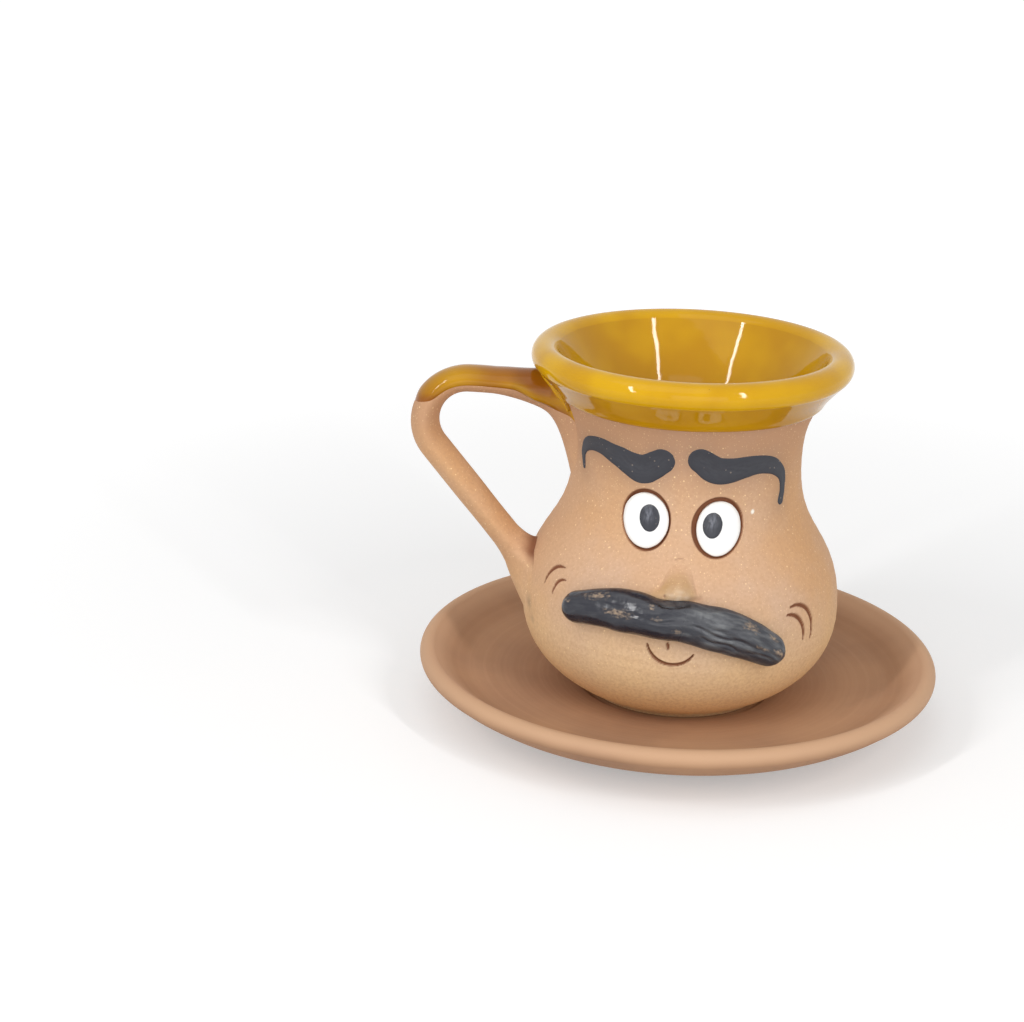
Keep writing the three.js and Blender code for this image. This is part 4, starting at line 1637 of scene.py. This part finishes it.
@dataclass
class Strap:
    """The pulled handle: a bar from under the rim, a round bend and a straight run to the belly."""

    pot: Pot
    reach: float = 58.7
    top_drop: float = 9.0
    root_drop: float = 13.0
    bend_radius: float = 9.5
    foot_height: float = 27.0
    width: float = 9.0
    bar_thickness: float = 5.4
    run_thickness: float = 6.7
    root_size: Pair = (15.0, 12.0)
    root_length: float = 20.0
    foot_size: Pair = (11.0, 12.0)
    spread_length: float = 11.0
    fillet_drop: float = 25.0
    fillet_length: float = 10.8
    fillet_tuck: float = 2.6
    fillet_foot: float = 49.0
    skirt_width: float = 6.0
    crotch_width: float = 1.3
    skirt_length: float = 5.0
    touch: float = 0.3
    root_inset: float = 0.93
    turn: float = math.radians(4)
    sharpness: float = 1.65
    depth_in_wall: float = 1.2
    root_power: float = 1.3
    fillet_power: int = 4
    unevenness: float = 0.025
    line_steps: tuple[int, int, int] = (70, 70, 60)
    ring_counts: tuple[int, int, int] = (80, 90, 60)
    columns: int = 72
    skirt_rings: int = 16
    skirt_search: float = 22.0
    search_steps: int = 160
    crease_shade: float = 0.95

    def __post_init__(self) -> None:
        """Draws the strap's middle line as (reach, height)."""
        pot = self.pot
        root = np.array([pot.neck_radius - pot.wall / 2, pot.height - self.root_drop])
        foot = np.array([pot.radius(self.foot_height) - pot.wall / 2, self.foot_height])
        top = np.array([self.reach - self.bend_radius, pot.height - self.top_drop])
        centre = top - np.array([0, self.bend_radius])
        to_foot = foot - centre
        straight = math.acos(self.bend_radius / np.hypot(*to_foot))
        leaving = math.atan2(to_foot[1], to_foot[0]) + straight
        bar_steps, bend_steps, run_steps = self.line_steps
        rise = np.array([(root[0] + top[0]) / 2, top[1]])
        bar = bent(root, rise, top, column(bar_steps))
        angle = np.linspace(math.pi / 2, leaving, bend_steps)[1:]
        bend = centre + self.bend_radius * np.stack([np.cos(angle), np.sin(angle)], axis=-1)
        run = bend[-1] + (foot - bend[-1]) * column(run_steps)[1:]
        self.line = np.vstack([bar, bend, run])
        self.along = lengths_along(self.line)
        self.bend_start = self.along[len(bar) - 1]
        self.run_start = self.along[len(bar) + len(bend) - 1]
        self.ahead = unit(np.gradient(self.line, axis=0))

    def at(self, travelled: Array, angle: Array, lift: Array) -> Array:
        """Finds points on the strap.

        Args:
            travelled: Length along the strap from its root.
            angle: Angle round the section. A quarter turn is the outside of the bend, and 0 the front.
            lift: How far out of the clay.

        Returns:
            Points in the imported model's frame.
        """
        def along_line(values: Array) -> Array:
            """Returns values of the middle line at the places."""
            return np.interp(travelled, self.along, values)

        def nearness(distance: Array) -> Array:
            """Returns how near an end of the strap is, from 0 to 1."""
            return np.maximum(1 - distance / self.spread_length, 0) ** 2

        root, foot = nearness(travelled), nearness(self.along[-1] - travelled)
        in_run = smooth_step(self.bend_start, self.run_start, travelled)
        thick = self.bar_thickness + (self.run_thickness - self.bar_thickness) * in_run
        uneven = 1 + self.unevenness * ripple(0.35 * travelled, 0.8 * np.cos(angle), 0.9)
        (root_wide, root_thick), (foot_wide, foot_thick) = self.root_size, self.foot_size
        full_wide = self.width + root * (root_wide - self.width) + foot * (foot_wide - self.width)
        rooted = np.maximum(1 - travelled / self.root_length, 0) ** self.root_power
        full_thick = thick + rooted * (root_thick - thick) + foot * (foot_thick - thick)
        power = 2 / (2 + (self.sharpness - 2) * in_run)
        wide = np.sign(np.cos(angle)) * np.abs(np.cos(angle)) ** power
        deep = np.sign(np.sin(angle)) * np.abs(np.sin(angle)) ** power
        aside = (full_wide / 2 * uneven + lift) * wide
        outward = (full_thick / 2 * uneven + lift) * deep
        ahead_x, ahead_y = along_line(self.ahead[:, 0]), along_line(self.ahead[:, 1])
        turned_down = np.maximum(1 - travelled / self.fillet_length, 0) ** self.fillet_power
        turned_down = turned_down * np.minimum(np.sin(angle), 0)
        reach = along_line(self.line[:, 0]) - ahead_y * outward + self.fillet_tuck * turned_down
        rise = along_line(self.line[:, 1]) + ahead_x * outward + self.fillet_drop * turned_down
        rise = np.where(travelled < self.fillet_length, np.maximum(rise, self.fillet_foot), rise)
        cos_turn, sin_turn = math.cos(self.turn), math.sin(self.turn)
        x = -cos_turn * reach + sin_turn * aside
        y = -sin_turn * reach - cos_turn * aside
        points = np.stack(np.broadcast_arrays(x, y, rise + self.pot.standing), axis=-1)
        return self.pot.pushed_out(points, self.depth_in_wall)

    def skirt(self, angle: Array) -> tuple[Array, Array]:
        """Finds how the strap's foot is smoothed on to the belly.

        Args:
            angle: Angles round the section.

        Returns:
            Where the smoothing starts at each angle, as a length along the strap, and the foot's rings.
        """
        pot = self.pot
        steps, reach = self.search_steps, self.skirt_search
        back = np.linspace(0, reach, steps)[:, None]
        rows = self.at(self.along[-1] - back, angle, np.zeros((steps, angle.size)))
        gap = pot.gap(rows)
        hit = np.argmax(gap > self.touch, axis=0)
        begin = np.minimum(hit + round(self.skirt_length / reach * steps), steps - 1)
        columns = np.arange(angle.size)
        start, turn = rows[begin, columns], rows[hit, columns]
        round_it = np.arctan2(turn[:, 0], -turn[:, 1])
        height = turn[:, 2] - pot.standing
        middle = np.array([round_it.mean(), height.mean()])
        offset = np.stack([(round_it - middle[0]) * pot.radius(middle[1]), height - middle[1]], axis=-1)
        tucked_in = smooth_step(0.1, 0.7, -np.sin(angle)).ravel()
        width = self.skirt_width + (self.crotch_width - self.skirt_width) * tucked_in
        grown = offset + unit(offset) * width[:, None]
        end_angle = middle[0] + grown[:, 0] / pot.radius(middle[1])
        end = pot.on_wall(end_angle, middle[1] + grown[:, 1], np.full(angle.size, -self.touch))
        rings = bent(start, turn, end, column(self.skirt_rings)[..., None])
        return self.along[-1] - back[begin, 0], rings

    def build(self, clay: Material) -> None:
        """Makes the handle.

        Args:
            clay: Its finish.
        """
        angle = np.linspace(0, FULL_TURN, self.columns, endpoint=False)[None, :]
        root_rings, bar_rings, run_rings = self.ring_counts
        ends, foot = self.skirt(angle)
        travelled = np.concatenate([
            np.linspace(0, self.fillet_length, root_rings, endpoint=False),
            np.linspace(self.fillet_length, self.run_start, bar_rings, endpoint=False),
        ])[:, None]
        run = column(run_rings)
        travelled = np.vstack([
            np.broadcast_to(travelled, (len(travelled), angle.size)),
            self.run_start + (ends - self.run_start) * run,
        ])
        strap = self.at(travelled, angle, np.zeros(travelled.shape))
        rings = np.concatenate([strap, foot[1:]])
        root = rings[0].mean(axis=0) * np.array([self.root_inset, self.root_inset, 1])
        shell = tube(rings, root, rings[-1].mean(axis=0))
        # Painted shade: the cut-line colour laid along the crease where the handle's foot meets the belly,
        # on its inner side.
        inner = smooth_step(0.05, 0.6, -np.sin(angle)) * smooth_step(-0.75, 0.1, np.cos(angle))
        crease = np.zeros(rings.shape[:2])
        crease[-len(foot) + 1:] = smooth_step(0.0, 0.7, column(len(foot))[1:]) * inner
        shell.marks = {Mark.INCISION_AND_SHADE: np.append(self.crease_shade * crease.ravel(), [0, 0])}
        Piece("pulled_handle", "handle", Body.CUP, Slot.CUP_CLAY, shell, clay).build()


@dataclass
class Glaze:
    """One coat over the inside, the rim, a band below it and the top of the handle."""

    pot: Pot
    strap: Strap
    thickness: float = 0.5
    seat: float = 0.15
    pool: float = 0.18
    columns: int = 240
    edge_wave: float = 0.3
    tip_width: float = math.radians(3.5)
    strap_spread: float = math.radians(102)
    root_spread: float = math.radians(25)
    bend_angle: float = math.radians(75)
    fold_from: float = math.radians(110)
    fold_to: float = math.radians(-9)
    fold_radius: float = 0.6
    fold_steps: int = 220
    fold_columns: int = 70
    fold_search: float = 18.0
    fold_gap: float = 0.15
    fold_smoothing: int = 7
    fold_sides: int = 20
    fold_thin: float = 0.15
    band_rows: int = 34
    bead_rows: int = 30
    inside_step: int = 3
    axis_gap: float = 0.8
    pool_place: float = 0.9
    pool_width: float = 0.8
    edge_roundness: float = 0.22
    inside_thin: float = 0.28
    band_thin: float = 0.40
    edge_thin: float = 0.18
    edge_thin_width: float = 0.7
    strap_rows: int = 120
    strap_columns: int = 41
    strap_end_curve: float = 2.5
    root_rise: Pair = (1.5, 7.5)
    root_fall: Pair = (10.0, 16.0)
    front_bead: float = 0.5
    root_bead: float = 0.35
    strap_thin: float = 0.77
    side_thin: float = 0.19
    end_thin: float = 0.4
    root_shade: float = 0.16
    bend_pool: float = 0.35

    def __post_init__(self) -> None:
        """Finds the fold at the handle's root, and the tip that the band's edge runs to there."""
        self.fold = self.fold_line()
        x, y, z = self.fold[-1]
        self.tip_angle = math.atan2(x, -y)
        self.tip_drop = max(self.pot.glaze_edge + self.pot.standing - z, 0.0)

    def fold_line(self) -> Array:
        """Finds the line along which the handle's coat meets the band.

        Returns:
            Its points, from the back to the front.
        """
        angle = np.linspace(self.fold_from, self.fold_to, self.fold_columns)[None, :]
        travelled = np.linspace(0, self.fold_search, self.fold_steps)[:, None]
        rows = self.strap.at(travelled, angle, np.full_like(travelled * angle, self.thickness))
        clear = np.argmax(self.pot.gap(rows) > self.thickness + self.fold_gap, axis=0)
        return smoothed(rows[clear, np.arange(self.fold_columns)], self.fold_smoothing)

    def edge_height(self, angle: Array) -> Array:
        """Returns the height of the band's lower edge, which runs down to a tip at the handle."""
        wave = self.edge_wave * ripple(3 * np.cos(angle), 3 * np.sin(angle), 1.1)
        return self.pot.glaze_edge + wave - self.tip_drop * hump(angle - self.tip_angle, self.tip_width)

    def cup_coat(self) -> Shell:
        """Makes the coat on the pot.

        Returns:
            The coat, closed.
        """
        pot = self.pot
        angles = np.linspace(-math.pi, math.pi, self.columns, endpoint=False)[None, :]
        edge = self.edge_height(angles)
        top = pot.outside[-1, 1]
        share = column(self.band_rows) ** 2
        height = edge + (top - edge) * share
        gone = height - edge
        pooled = self.thickness + self.pool * hump(gone - self.pool_place, self.pool_width)
        band_lift = (pooled + self.seat) * (1 - np.exp(-gone / self.edge_roundness)) - self.seat
        band = pot.on_wall(angles, height, band_lift)
        hidden = pot.on_wall(angles, height[1:], np.full_like(height[1:], -self.seat))

        bead_angles = np.linspace(pot.lip_outer, pot.lip_inner, self.bead_rows)[1:-1]
        inside = pot.inside[::-self.inside_step]
        inside = inside[inside[:, 0] > self.axis_gap]

        def over_rim(lift: float) -> Array:
            """Returns the rows over the bead and down the inside, at a lift."""
            bead = np.array([pot.lip_point(a, lift) for a in bead_angles])
            return pot.turned(np.vstack([bead, pot.coated(inside, lift)]), angles)

        rings = np.concatenate([over_rim(self.thickness)[::-1], band[::-1], hidden, over_rim(-self.seat)])
        heights = np.array([[0, pot.floor + self.thickness], [0, pot.floor - self.seat]])
        ends = pot.turned(heights, np.zeros((1, 1)))[:, 0]
        made = tube(rings, *ends)
        thin = np.zeros(rings.shape[:2])
        thin[:len(inside)] = self.inside_thin
        band_start = len(rings) - 2 * len(band) + 1 - (len(bead_angles) + len(inside))
        at_edge = self.edge_thin * np.exp(-gone / self.edge_thin_width)
        thin[band_start:band_start + len(band)] = (at_edge + self.band_thin)[::-1]
        made.marks = {Mark.THIN: np.append(thin.ravel(), [0, 0])}
        return made

    def strap_coat(self) -> Shell:
        """Makes the coat on the top of the handle.

        Returns:
            The coat, closed.
        """
        strap = self.strap
        side = np.sin(np.linspace(-math.pi / 2, math.pi / 2, self.strap_columns))[None, :]
        share = column(self.strap_rows)
        end = strap.bend_start + strap.bend_radius * self.bend_angle
        travelled = share * (end - self.strap_end_curve * side**2 + 0.6 * ripple(3 * side, 0 * side, 0.5))
        at_root = smooth_step(*self.root_rise, travelled) - smooth_step(*self.root_fall, travelled)
        uneven_edge = 0.07 * ripple(0.5 * travelled, 2 * np.sign(side), 2)
        angle = math.pi / 2 - side * (self.strap_spread + self.root_spread * at_root + uneven_edge)
        bare = strap.at(travelled, angle, np.zeros_like(travelled * side))
        gap = self.pot.gap(bare)
        front_edge = hump(side - 0.82, 0.16) * hump(travelled - 9, 9)
        fold = np.exp(-np.maximum(gap, 0) / 0.8) * smooth_step(-0.6, 0.5, side)
        fade = 1 - smooth_step(0.9, 1.0, share)
        full = (1 - np.abs(side) ** 7) * fade
        thick = self.thickness * (0.8 + 0.2 * ripple(0.6 * travelled, 2 * side, 3))
        thick = thick + self.front_bead * front_edge + self.root_bead * fold
        lift = (thick + self.seat) * full - self.seat
        hidden = np.broadcast_to(-2.5 * self.seat, lift.shape)
        made = slab(strap.at(travelled, angle, lift), strap.at(travelled, angle, hidden))
        past_bend = smooth_step(strap.bend_start - 12, end, travelled)
        thin = self.strap_thin + self.side_thin * np.abs(side) ** 3
        thin = thin - self.bend_pool * hump(past_bend - 0.62, 0.3) + self.end_thin * (1 - fade)
        # Painted shade: more amber near the handle's root, under the rim.
        thin = thin + self.root_shade * hump(gap - 4.5, 3.0) - 0.55 * front_edge - 0.45 * fold
        made.marks = {Mark.THIN: np.tile(np.clip(thin, 0, 1).ravel(), 2)}
        return made

    def fold_bead(self) -> Shell:
        """Makes the bead of glaze that has gathered in the fold between the handle's root and the rim.

        Returns:
            The bead, closed.
        """
        line = self.fold
        ahead = unit(np.gradient(line, axis=0))
        out = unit(line * np.array([1, 1, 0]))
        aside = unit(np.cross(ahead, out))
        share = np.linspace(0, 1, len(line))
        size = self.fold_radius * smooth_step(0, 0.12, share) * (1 - 0.7 * smooth_step(0.8, 1, share))
        size = (size + 0.05) * (1 + 0.2 * ripple(17 * share, 0 * share, 0.4))
        turn = np.linspace(0, FULL_TURN, self.fold_sides, endpoint=False)[None, :, None]
        around = np.cos(turn) * aside[:, None] + np.sin(turn) * np.cross(aside, ahead)[:, None]
        rings = line[:, None] + size[:, None, None] * around
        made = tube(rings, line[0], line[-1])
        made.marks = {Mark.THIN: np.full(len(made.points), self.fold_thin)}
        return made

    def build(self, glaze: Material) -> None:
        """Makes the whole coat."""
        shell = self.cup_coat().joined(self.strap_coat()).joined(self.fold_bead())
        Piece("mustard_coat", "glaze", Body.CUP, Slot.GLAZE, shell, glaze).build()


# The saucer


@dataclass
class Saucer:
    """A thrown dish with a rounded lip and a ring well for the cup's foot."""

    radius: float = 59.0
    height: float = 14.5
    base_radius: float = 33.0
    lip_radius: float = 2.1
    floor: float = 6.0
    cone_rise: float = 3.0
    cove_width: float = 8.0
    well_radius: float = 21.5
    well_depth: float = 0.8
    well_slope: float = 1.0
    bead_start: float = math.radians(-60)
    bead_end: float = math.radians(130)
    underside_pull: Pair = (49.5, 3.2)
    base_rings: tuple[float, ...] = (0.5, 6, 12, 18, 24, 29, 32)
    base_bevel: Pair = (0.3, 0.06)
    ledge: float = 0.5
    outer_steps: int = 44
    bead_steps: int = 32
    cove_steps: int = 34
    cone_steps: int = 40
    ledge_steps: int = 12
    well_steps: int = 28
    columns: int = 216
    warp: float = 0.12
    wheel_ridge: float = 0.015
    ring_tint: float = 0.65
    ring_width: float = 0.45

    def profile(self) -> Array:
        """Draws the dish's section, from the middle of the base to the middle of the well.

        Returns:
            Points as (radius, height).
        """
        lip = np.array([self.radius - self.lip_radius, self.height - self.lip_radius])
        cone_top = self.floor + self.cone_rise
        bevel, bevel_rise = self.base_bevel
        base = np.array([[r, 0.0] for r in (*self.base_rings, self.base_radius - bevel)])
        angle = np.linspace(self.bead_start, self.bead_end, self.bead_steps)
        bead = lip + self.lip_radius * np.stack([np.cos(angle), np.sin(angle)], axis=-1)
        foot = np.array([self.base_radius, bevel_rise])
        outer = bent(foot, np.array(self.underside_pull), bead[0], column(self.outer_steps))
        dish_end = self.well_radius + self.well_slope + self.ledge
        cove_end = lip[0] - self.lip_radius - self.cove_width
        slope = self.cone_rise / (cove_end - dish_end)
        way = np.array([-math.sin(self.bead_end), math.cos(self.bead_end)])
        above = bead[-1, 1] - cone_top - slope * (bead[-1, 0] - cove_end)
        pull = bead[-1] + way * above / (slope * way[0] - way[1])
        cove = bent(bead[-1], pull, np.array([cove_end, cone_top]), column(self.cove_steps))[1:]
        cone_reach = np.linspace(cove_end, dish_end, self.cone_steps)[1:]
        cone = np.stack([cone_reach, self.floor + slope * (cone_reach - dish_end)], axis=-1)
        share = np.linspace(0, 1, self.ledge_steps)
        step_reach = dish_end - (dish_end - self.well_radius + self.ledge) * share
        step_rise = self.floor - self.well_depth * smooth_step(0.1, 0.95, share)
        step = np.stack([step_reach, step_rise], axis=-1)
        well_reach = np.linspace(self.well_radius - 0.8, 0.6, self.well_steps)
        well = np.stack([well_reach, np.full(self.well_steps, step_rise[-1])], axis=-1)
        return np.vstack([base, outer, bead[1:], cove, cone, step[1:], well])

    def build(self, clay: Material) -> None:
        """Makes the saucer.

        Args:
            clay: Its finish.
        """
        section = self.profile()
        reach, rise = section[:, :1], section[:, 1:]
        angle = np.linspace(0, FULL_TURN, self.columns, endpoint=False)[None, :]
        upper = smooth_step(2.0, 6.0, rise)
        wave = self.warp * ripple(2 * np.cos(angle), 2 * np.sin(angle), 0.3)
        wave = wave * upper * smooth_step(25, 59, reach)
        rings = self.wheel_ridge * upper * np.sin(1.9 * reach + 0.7 * np.sin(0.31 * reach))
        rings = rings * smooth_step(24, 30, reach)
        x, y = reach * np.cos(angle), reach * np.sin(angle)
        points = np.stack(np.broadcast_arrays(x, y, rise + wave + rings), axis=-1)
        shell = tube(points, np.zeros(3), np.array([0, 0, section[-1, 1]]))
        ring = self.ring_tint * hump(reach - self.well_radius - 0.2, self.ring_width)
        ring = ring * (rise > 2) * np.ones_like(angle)
        shell.marks = {Mark.INCISION_AND_SHADE: np.append(ring.ravel(), [0, 0])}
        Piece("thrown_saucer", "saucer", Body.SAUCER, Slot.SAUCER_CLAY, shell, clay).build()


# The studio


@dataclass
class Studio:
    """Soft light, two tall strip lamps, a pale floor and the camera of the photograph."""

    ambient: float = 0.42
    strip_width: float = 0.055
    strip_power: float = 4.4
    strip_distance: float = 1.25
    strip_ends: tuple[tuple[Pair, Pair], ...] = (((-40, 17), (-54, 50)), ((36, 16), (44, 50)))
    overhead_size: float = 1.3
    overhead_power: float = 4.6
    fill_size: float = 0.9
    fill_power: float = 3.0
    fill_place: Station = (0.15, -1.3, 0.22)
    overhead_place: Station = (-0.35, -0.55, 1.5)
    floor_size: float = 16.0
    floor_colour: Colour = (0.86, 0.86, 0.86)
    lit_colour: Colour = (0.72, 0.72, 0.72)
    floor_glow: float = 0.34
    far_glow: float = 0.70
    glow_stretch: Pair = (0.10, 0.55)
    floor_gap: float = 0.0001
    picture_size: Pair = (1024, 1022)
    focal_pixels: float = 2200.0
    target: Station = (0.0, 0.0, 0.040)
    target_pixel: Pair = (682.3, 540.5)
    distance: float = 0.5
    elevation: float = math.radians(19.5)
    roll: float = math.radians(3.18)
    sensor: float = 36.0
    nearest: float = 0.01

    @staticmethod
    def seen(board: Board) -> Field:
        """Finds what the camera sees, straight or by way of a gloss or a clear thing.

        Args:
            board: The board to use.

        Returns:
            1 for a ray that leads to the camera.
        """
        path = board.node("ShaderNodeLightPath", {}, {})
        rays = ("Camera", "Glossy", "Transmission")
        straight, glossy, clear = (Field(board, path.outputs[f"Is {ray} Ray"]) for ray in rays)
        return straight.most(glossy).most(clear)

    def light_world(self) -> None:
        """Makes the soft light all round, with a white background."""
        world = bpy.data.worlds.new("studio")
        world.use_nodes = True
        bpy.context.scene.world = world
        board = Board(world.node_tree)
        seen = self.seen(board)
        white = (1.0, 1.0, 1.0)
        kind = "ShaderNodeBackground"
        soft = board.field(kind, {}, {"Color": white, "Strength": self.ambient}, "Background")
        plain = board.field(kind, {}, {"Color": white, "Strength": 1.0}, "Background")
        shader = board.field("ShaderNodeMixShader", {}, {"Fac": seen, 1: soft, 2: plain}, "Shader")
        board.node("ShaderNodeOutputWorld", {}, {"Surface": shader})

    def hang_lamp(self, name: str, place: Vector, up: Vector, size: Pair, power: float) -> None:
        """Hangs a rectangular lamp that faces the cup.

        Args:
            name: Its name.
            place: Where it hangs.
            up: The way its long side runs.
            size: Its width and height.
            power: Its power in watts.
        """
        data = bpy.data.lights.new(name, "AREA")
        data.shape = "RECTANGLE"
        data.size, data.size_y = size
        data.energy = power
        lamp = bpy.data.objects.new(name, data)
        bpy.context.scene.collection.objects.link(lamp)
        back = (place - Vector(self.target)).normalized()
        side = up.cross(back).normalized()
        turned = Matrix((side, back.cross(side), back)).transposed().to_4x4()
        lamp.matrix_world = Matrix.Translation(place) @ turned

    def hang_lamps(self) -> None:
        """Hangs the two strips, the large soft lamp overhead and the fill from the front."""

        def towards(azimuth: float, elevation: float) -> Vector:
            """Returns the place of a strip's end, from degrees round to the right and degrees up."""
            a, e = np.radians((azimuth, elevation))
            return Vector(self.target) + Vector(spun(np.cos(e), a, np.sin(e))) * self.strip_distance

        for number, (low, high) in enumerate(self.strip_ends):
            foot, head = towards(*low), towards(*high)
            size = (self.strip_width, (head - foot).length)
            self.hang_lamp(f"strip_{number}", (foot + head) / 2, head - foot, size, self.strip_power)
        place, size = Vector(self.overhead_place), (self.overhead_size,) * 2
        self.hang_lamp("overhead", place, Vector((0, 1, 0)), size, self.overhead_power)
        place, size = Vector(self.fill_place), (self.fill_size,) * 2
        self.hang_lamp("fill", place, Vector((0, 0, 1)), size, self.fill_power)

    def lay_floor(self) -> None:
        """Lays the pale floor, which keeps the object's shadow."""
        half = self.floor_size / 2
        mesh = bpy.data.meshes.new("floor")
        corners = [(-half, -half, 0), (half, -half, 0), (half, half, 0), (-half, half, 0)]
        mesh.from_pydata(corners, [], [(0, 1, 2, 3)])
        made, board = new_finish("pale_floor")
        seen = self.seen(board)
        plain = board.field("ShaderNodeBsdfDiffuse", {}, {"Color": self.floor_colour}, "BSDF")
        reach = board.length(board.place())
        near, far = (self.floor_glow,) * 3, (self.far_glow,) * 3
        colour = board.mix(reach.rise(*self.glow_stretch), near, far)
        glow = board.field("ShaderNodeEmission", {}, {"Color": colour, "Strength": 1.0}, "Emission")
        lit = board.field("ShaderNodeBsdfDiffuse", {}, {"Color": self.lit_colour}, "BSDF")
        lifted = board.field("ShaderNodeAddShader", {}, {0: lit, 1: glow}, "Shader")
        shader = board.field("ShaderNodeMixShader", {}, {"Fac": seen, 1: plain, 2: lifted}, "Shader")
        board.node("ShaderNodeOutputMaterial", {}, {"Surface": shader})
        mesh.materials.append(made)
        floor = bpy.data.objects.new("floor", mesh)
        floor.location.z = -self.floor_gap
        bpy.context.scene.collection.objects.link(floor)

    def place_camera(self) -> None:
        """Sets the camera at the photograph's angle, with the cup on its place in the picture."""
        data = bpy.data.cameras.new("camera")
        data.sensor_width = self.sensor
        data.lens = self.focal_pixels / self.picture_size[0] * self.sensor
        data.clip_start = self.nearest
        camera = bpy.data.objects.new("camera", data)
        bpy.context.scene.collection.objects.link(camera)
        cos_e, sin_e = math.cos(self.elevation), math.sin(self.elevation)
        back, up = Vector((0, -cos_e, sin_e)), Vector((0, sin_e, cos_e))
        right = math.cos(self.roll) * Vector((1, 0, 0)) + math.sin(self.roll) * up
        facing = Matrix((right, back.cross(right), back)).transposed()
        across = (self.target_pixel[0] - self.picture_size[0] / 2) / self.focal_pixels
        below = (self.target_pixel[1] - self.picture_size[1] / 2) / self.focal_pixels
        aside = Vector((0, 0, -1)).rotation_difference(Vector((across, -below, -1)))
        turned = facing @ aside.inverted().to_matrix()
        place = Vector(self.target) + back * self.distance
        camera.matrix_world = Matrix.Translation(place) @ turned.to_4x4()
        bpy.context.scene.camera = camera

    def build(self) -> None:
        """Sets up the whole studio."""
        bpy.context.scene.view_settings.view_transform = "Standard"
        self.light_world()
        self.hang_lamps()
        self.lay_floor()
        self.place_camera()
        log.info("studio is set up")


def main() -> None:
    """Builds every piece, dresses it, and sets up the studio."""
    logging.basicConfig(level=logging.INFO, format="%(name)s: %(message)s")
    pot = Pot(standing=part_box("cup_body")[0].z / MM)
    face = Face(pot)
    strap = Strap(pot)
    clay = CupClay().make()
    brow_paint = BrushPaint(
        "brow_paint", paint=tone(41, 42, 49), streak=tone(84, 86, 92), streak_share=0.3, roughness=0.6,
    ).make()
    # The pupils' pale streak colour is a painted highlight.
    pupil_paint = BrushPaint(
        "pupil_paint", paint=tone(37, 39, 47), streak=tone(186, 190, 204), streak_share=0.4, roughness=0.4,
        fleck_share=0.1,
    ).make()

    Studio().build()
    Saucer().build(SaucerClay().make())
    CupBody(pot, face).build(clay)
    Nose(pot).build(clay)
    Moustache(pot).build(MoustachePaint().make())
    face.build(WhitePaint().make(), pupil_paint, brow_paint)
    strap.build(clay)
    Glaze(pot, strap).build(MustardGlaze().make())


if __name__ == "__main__":
    main()
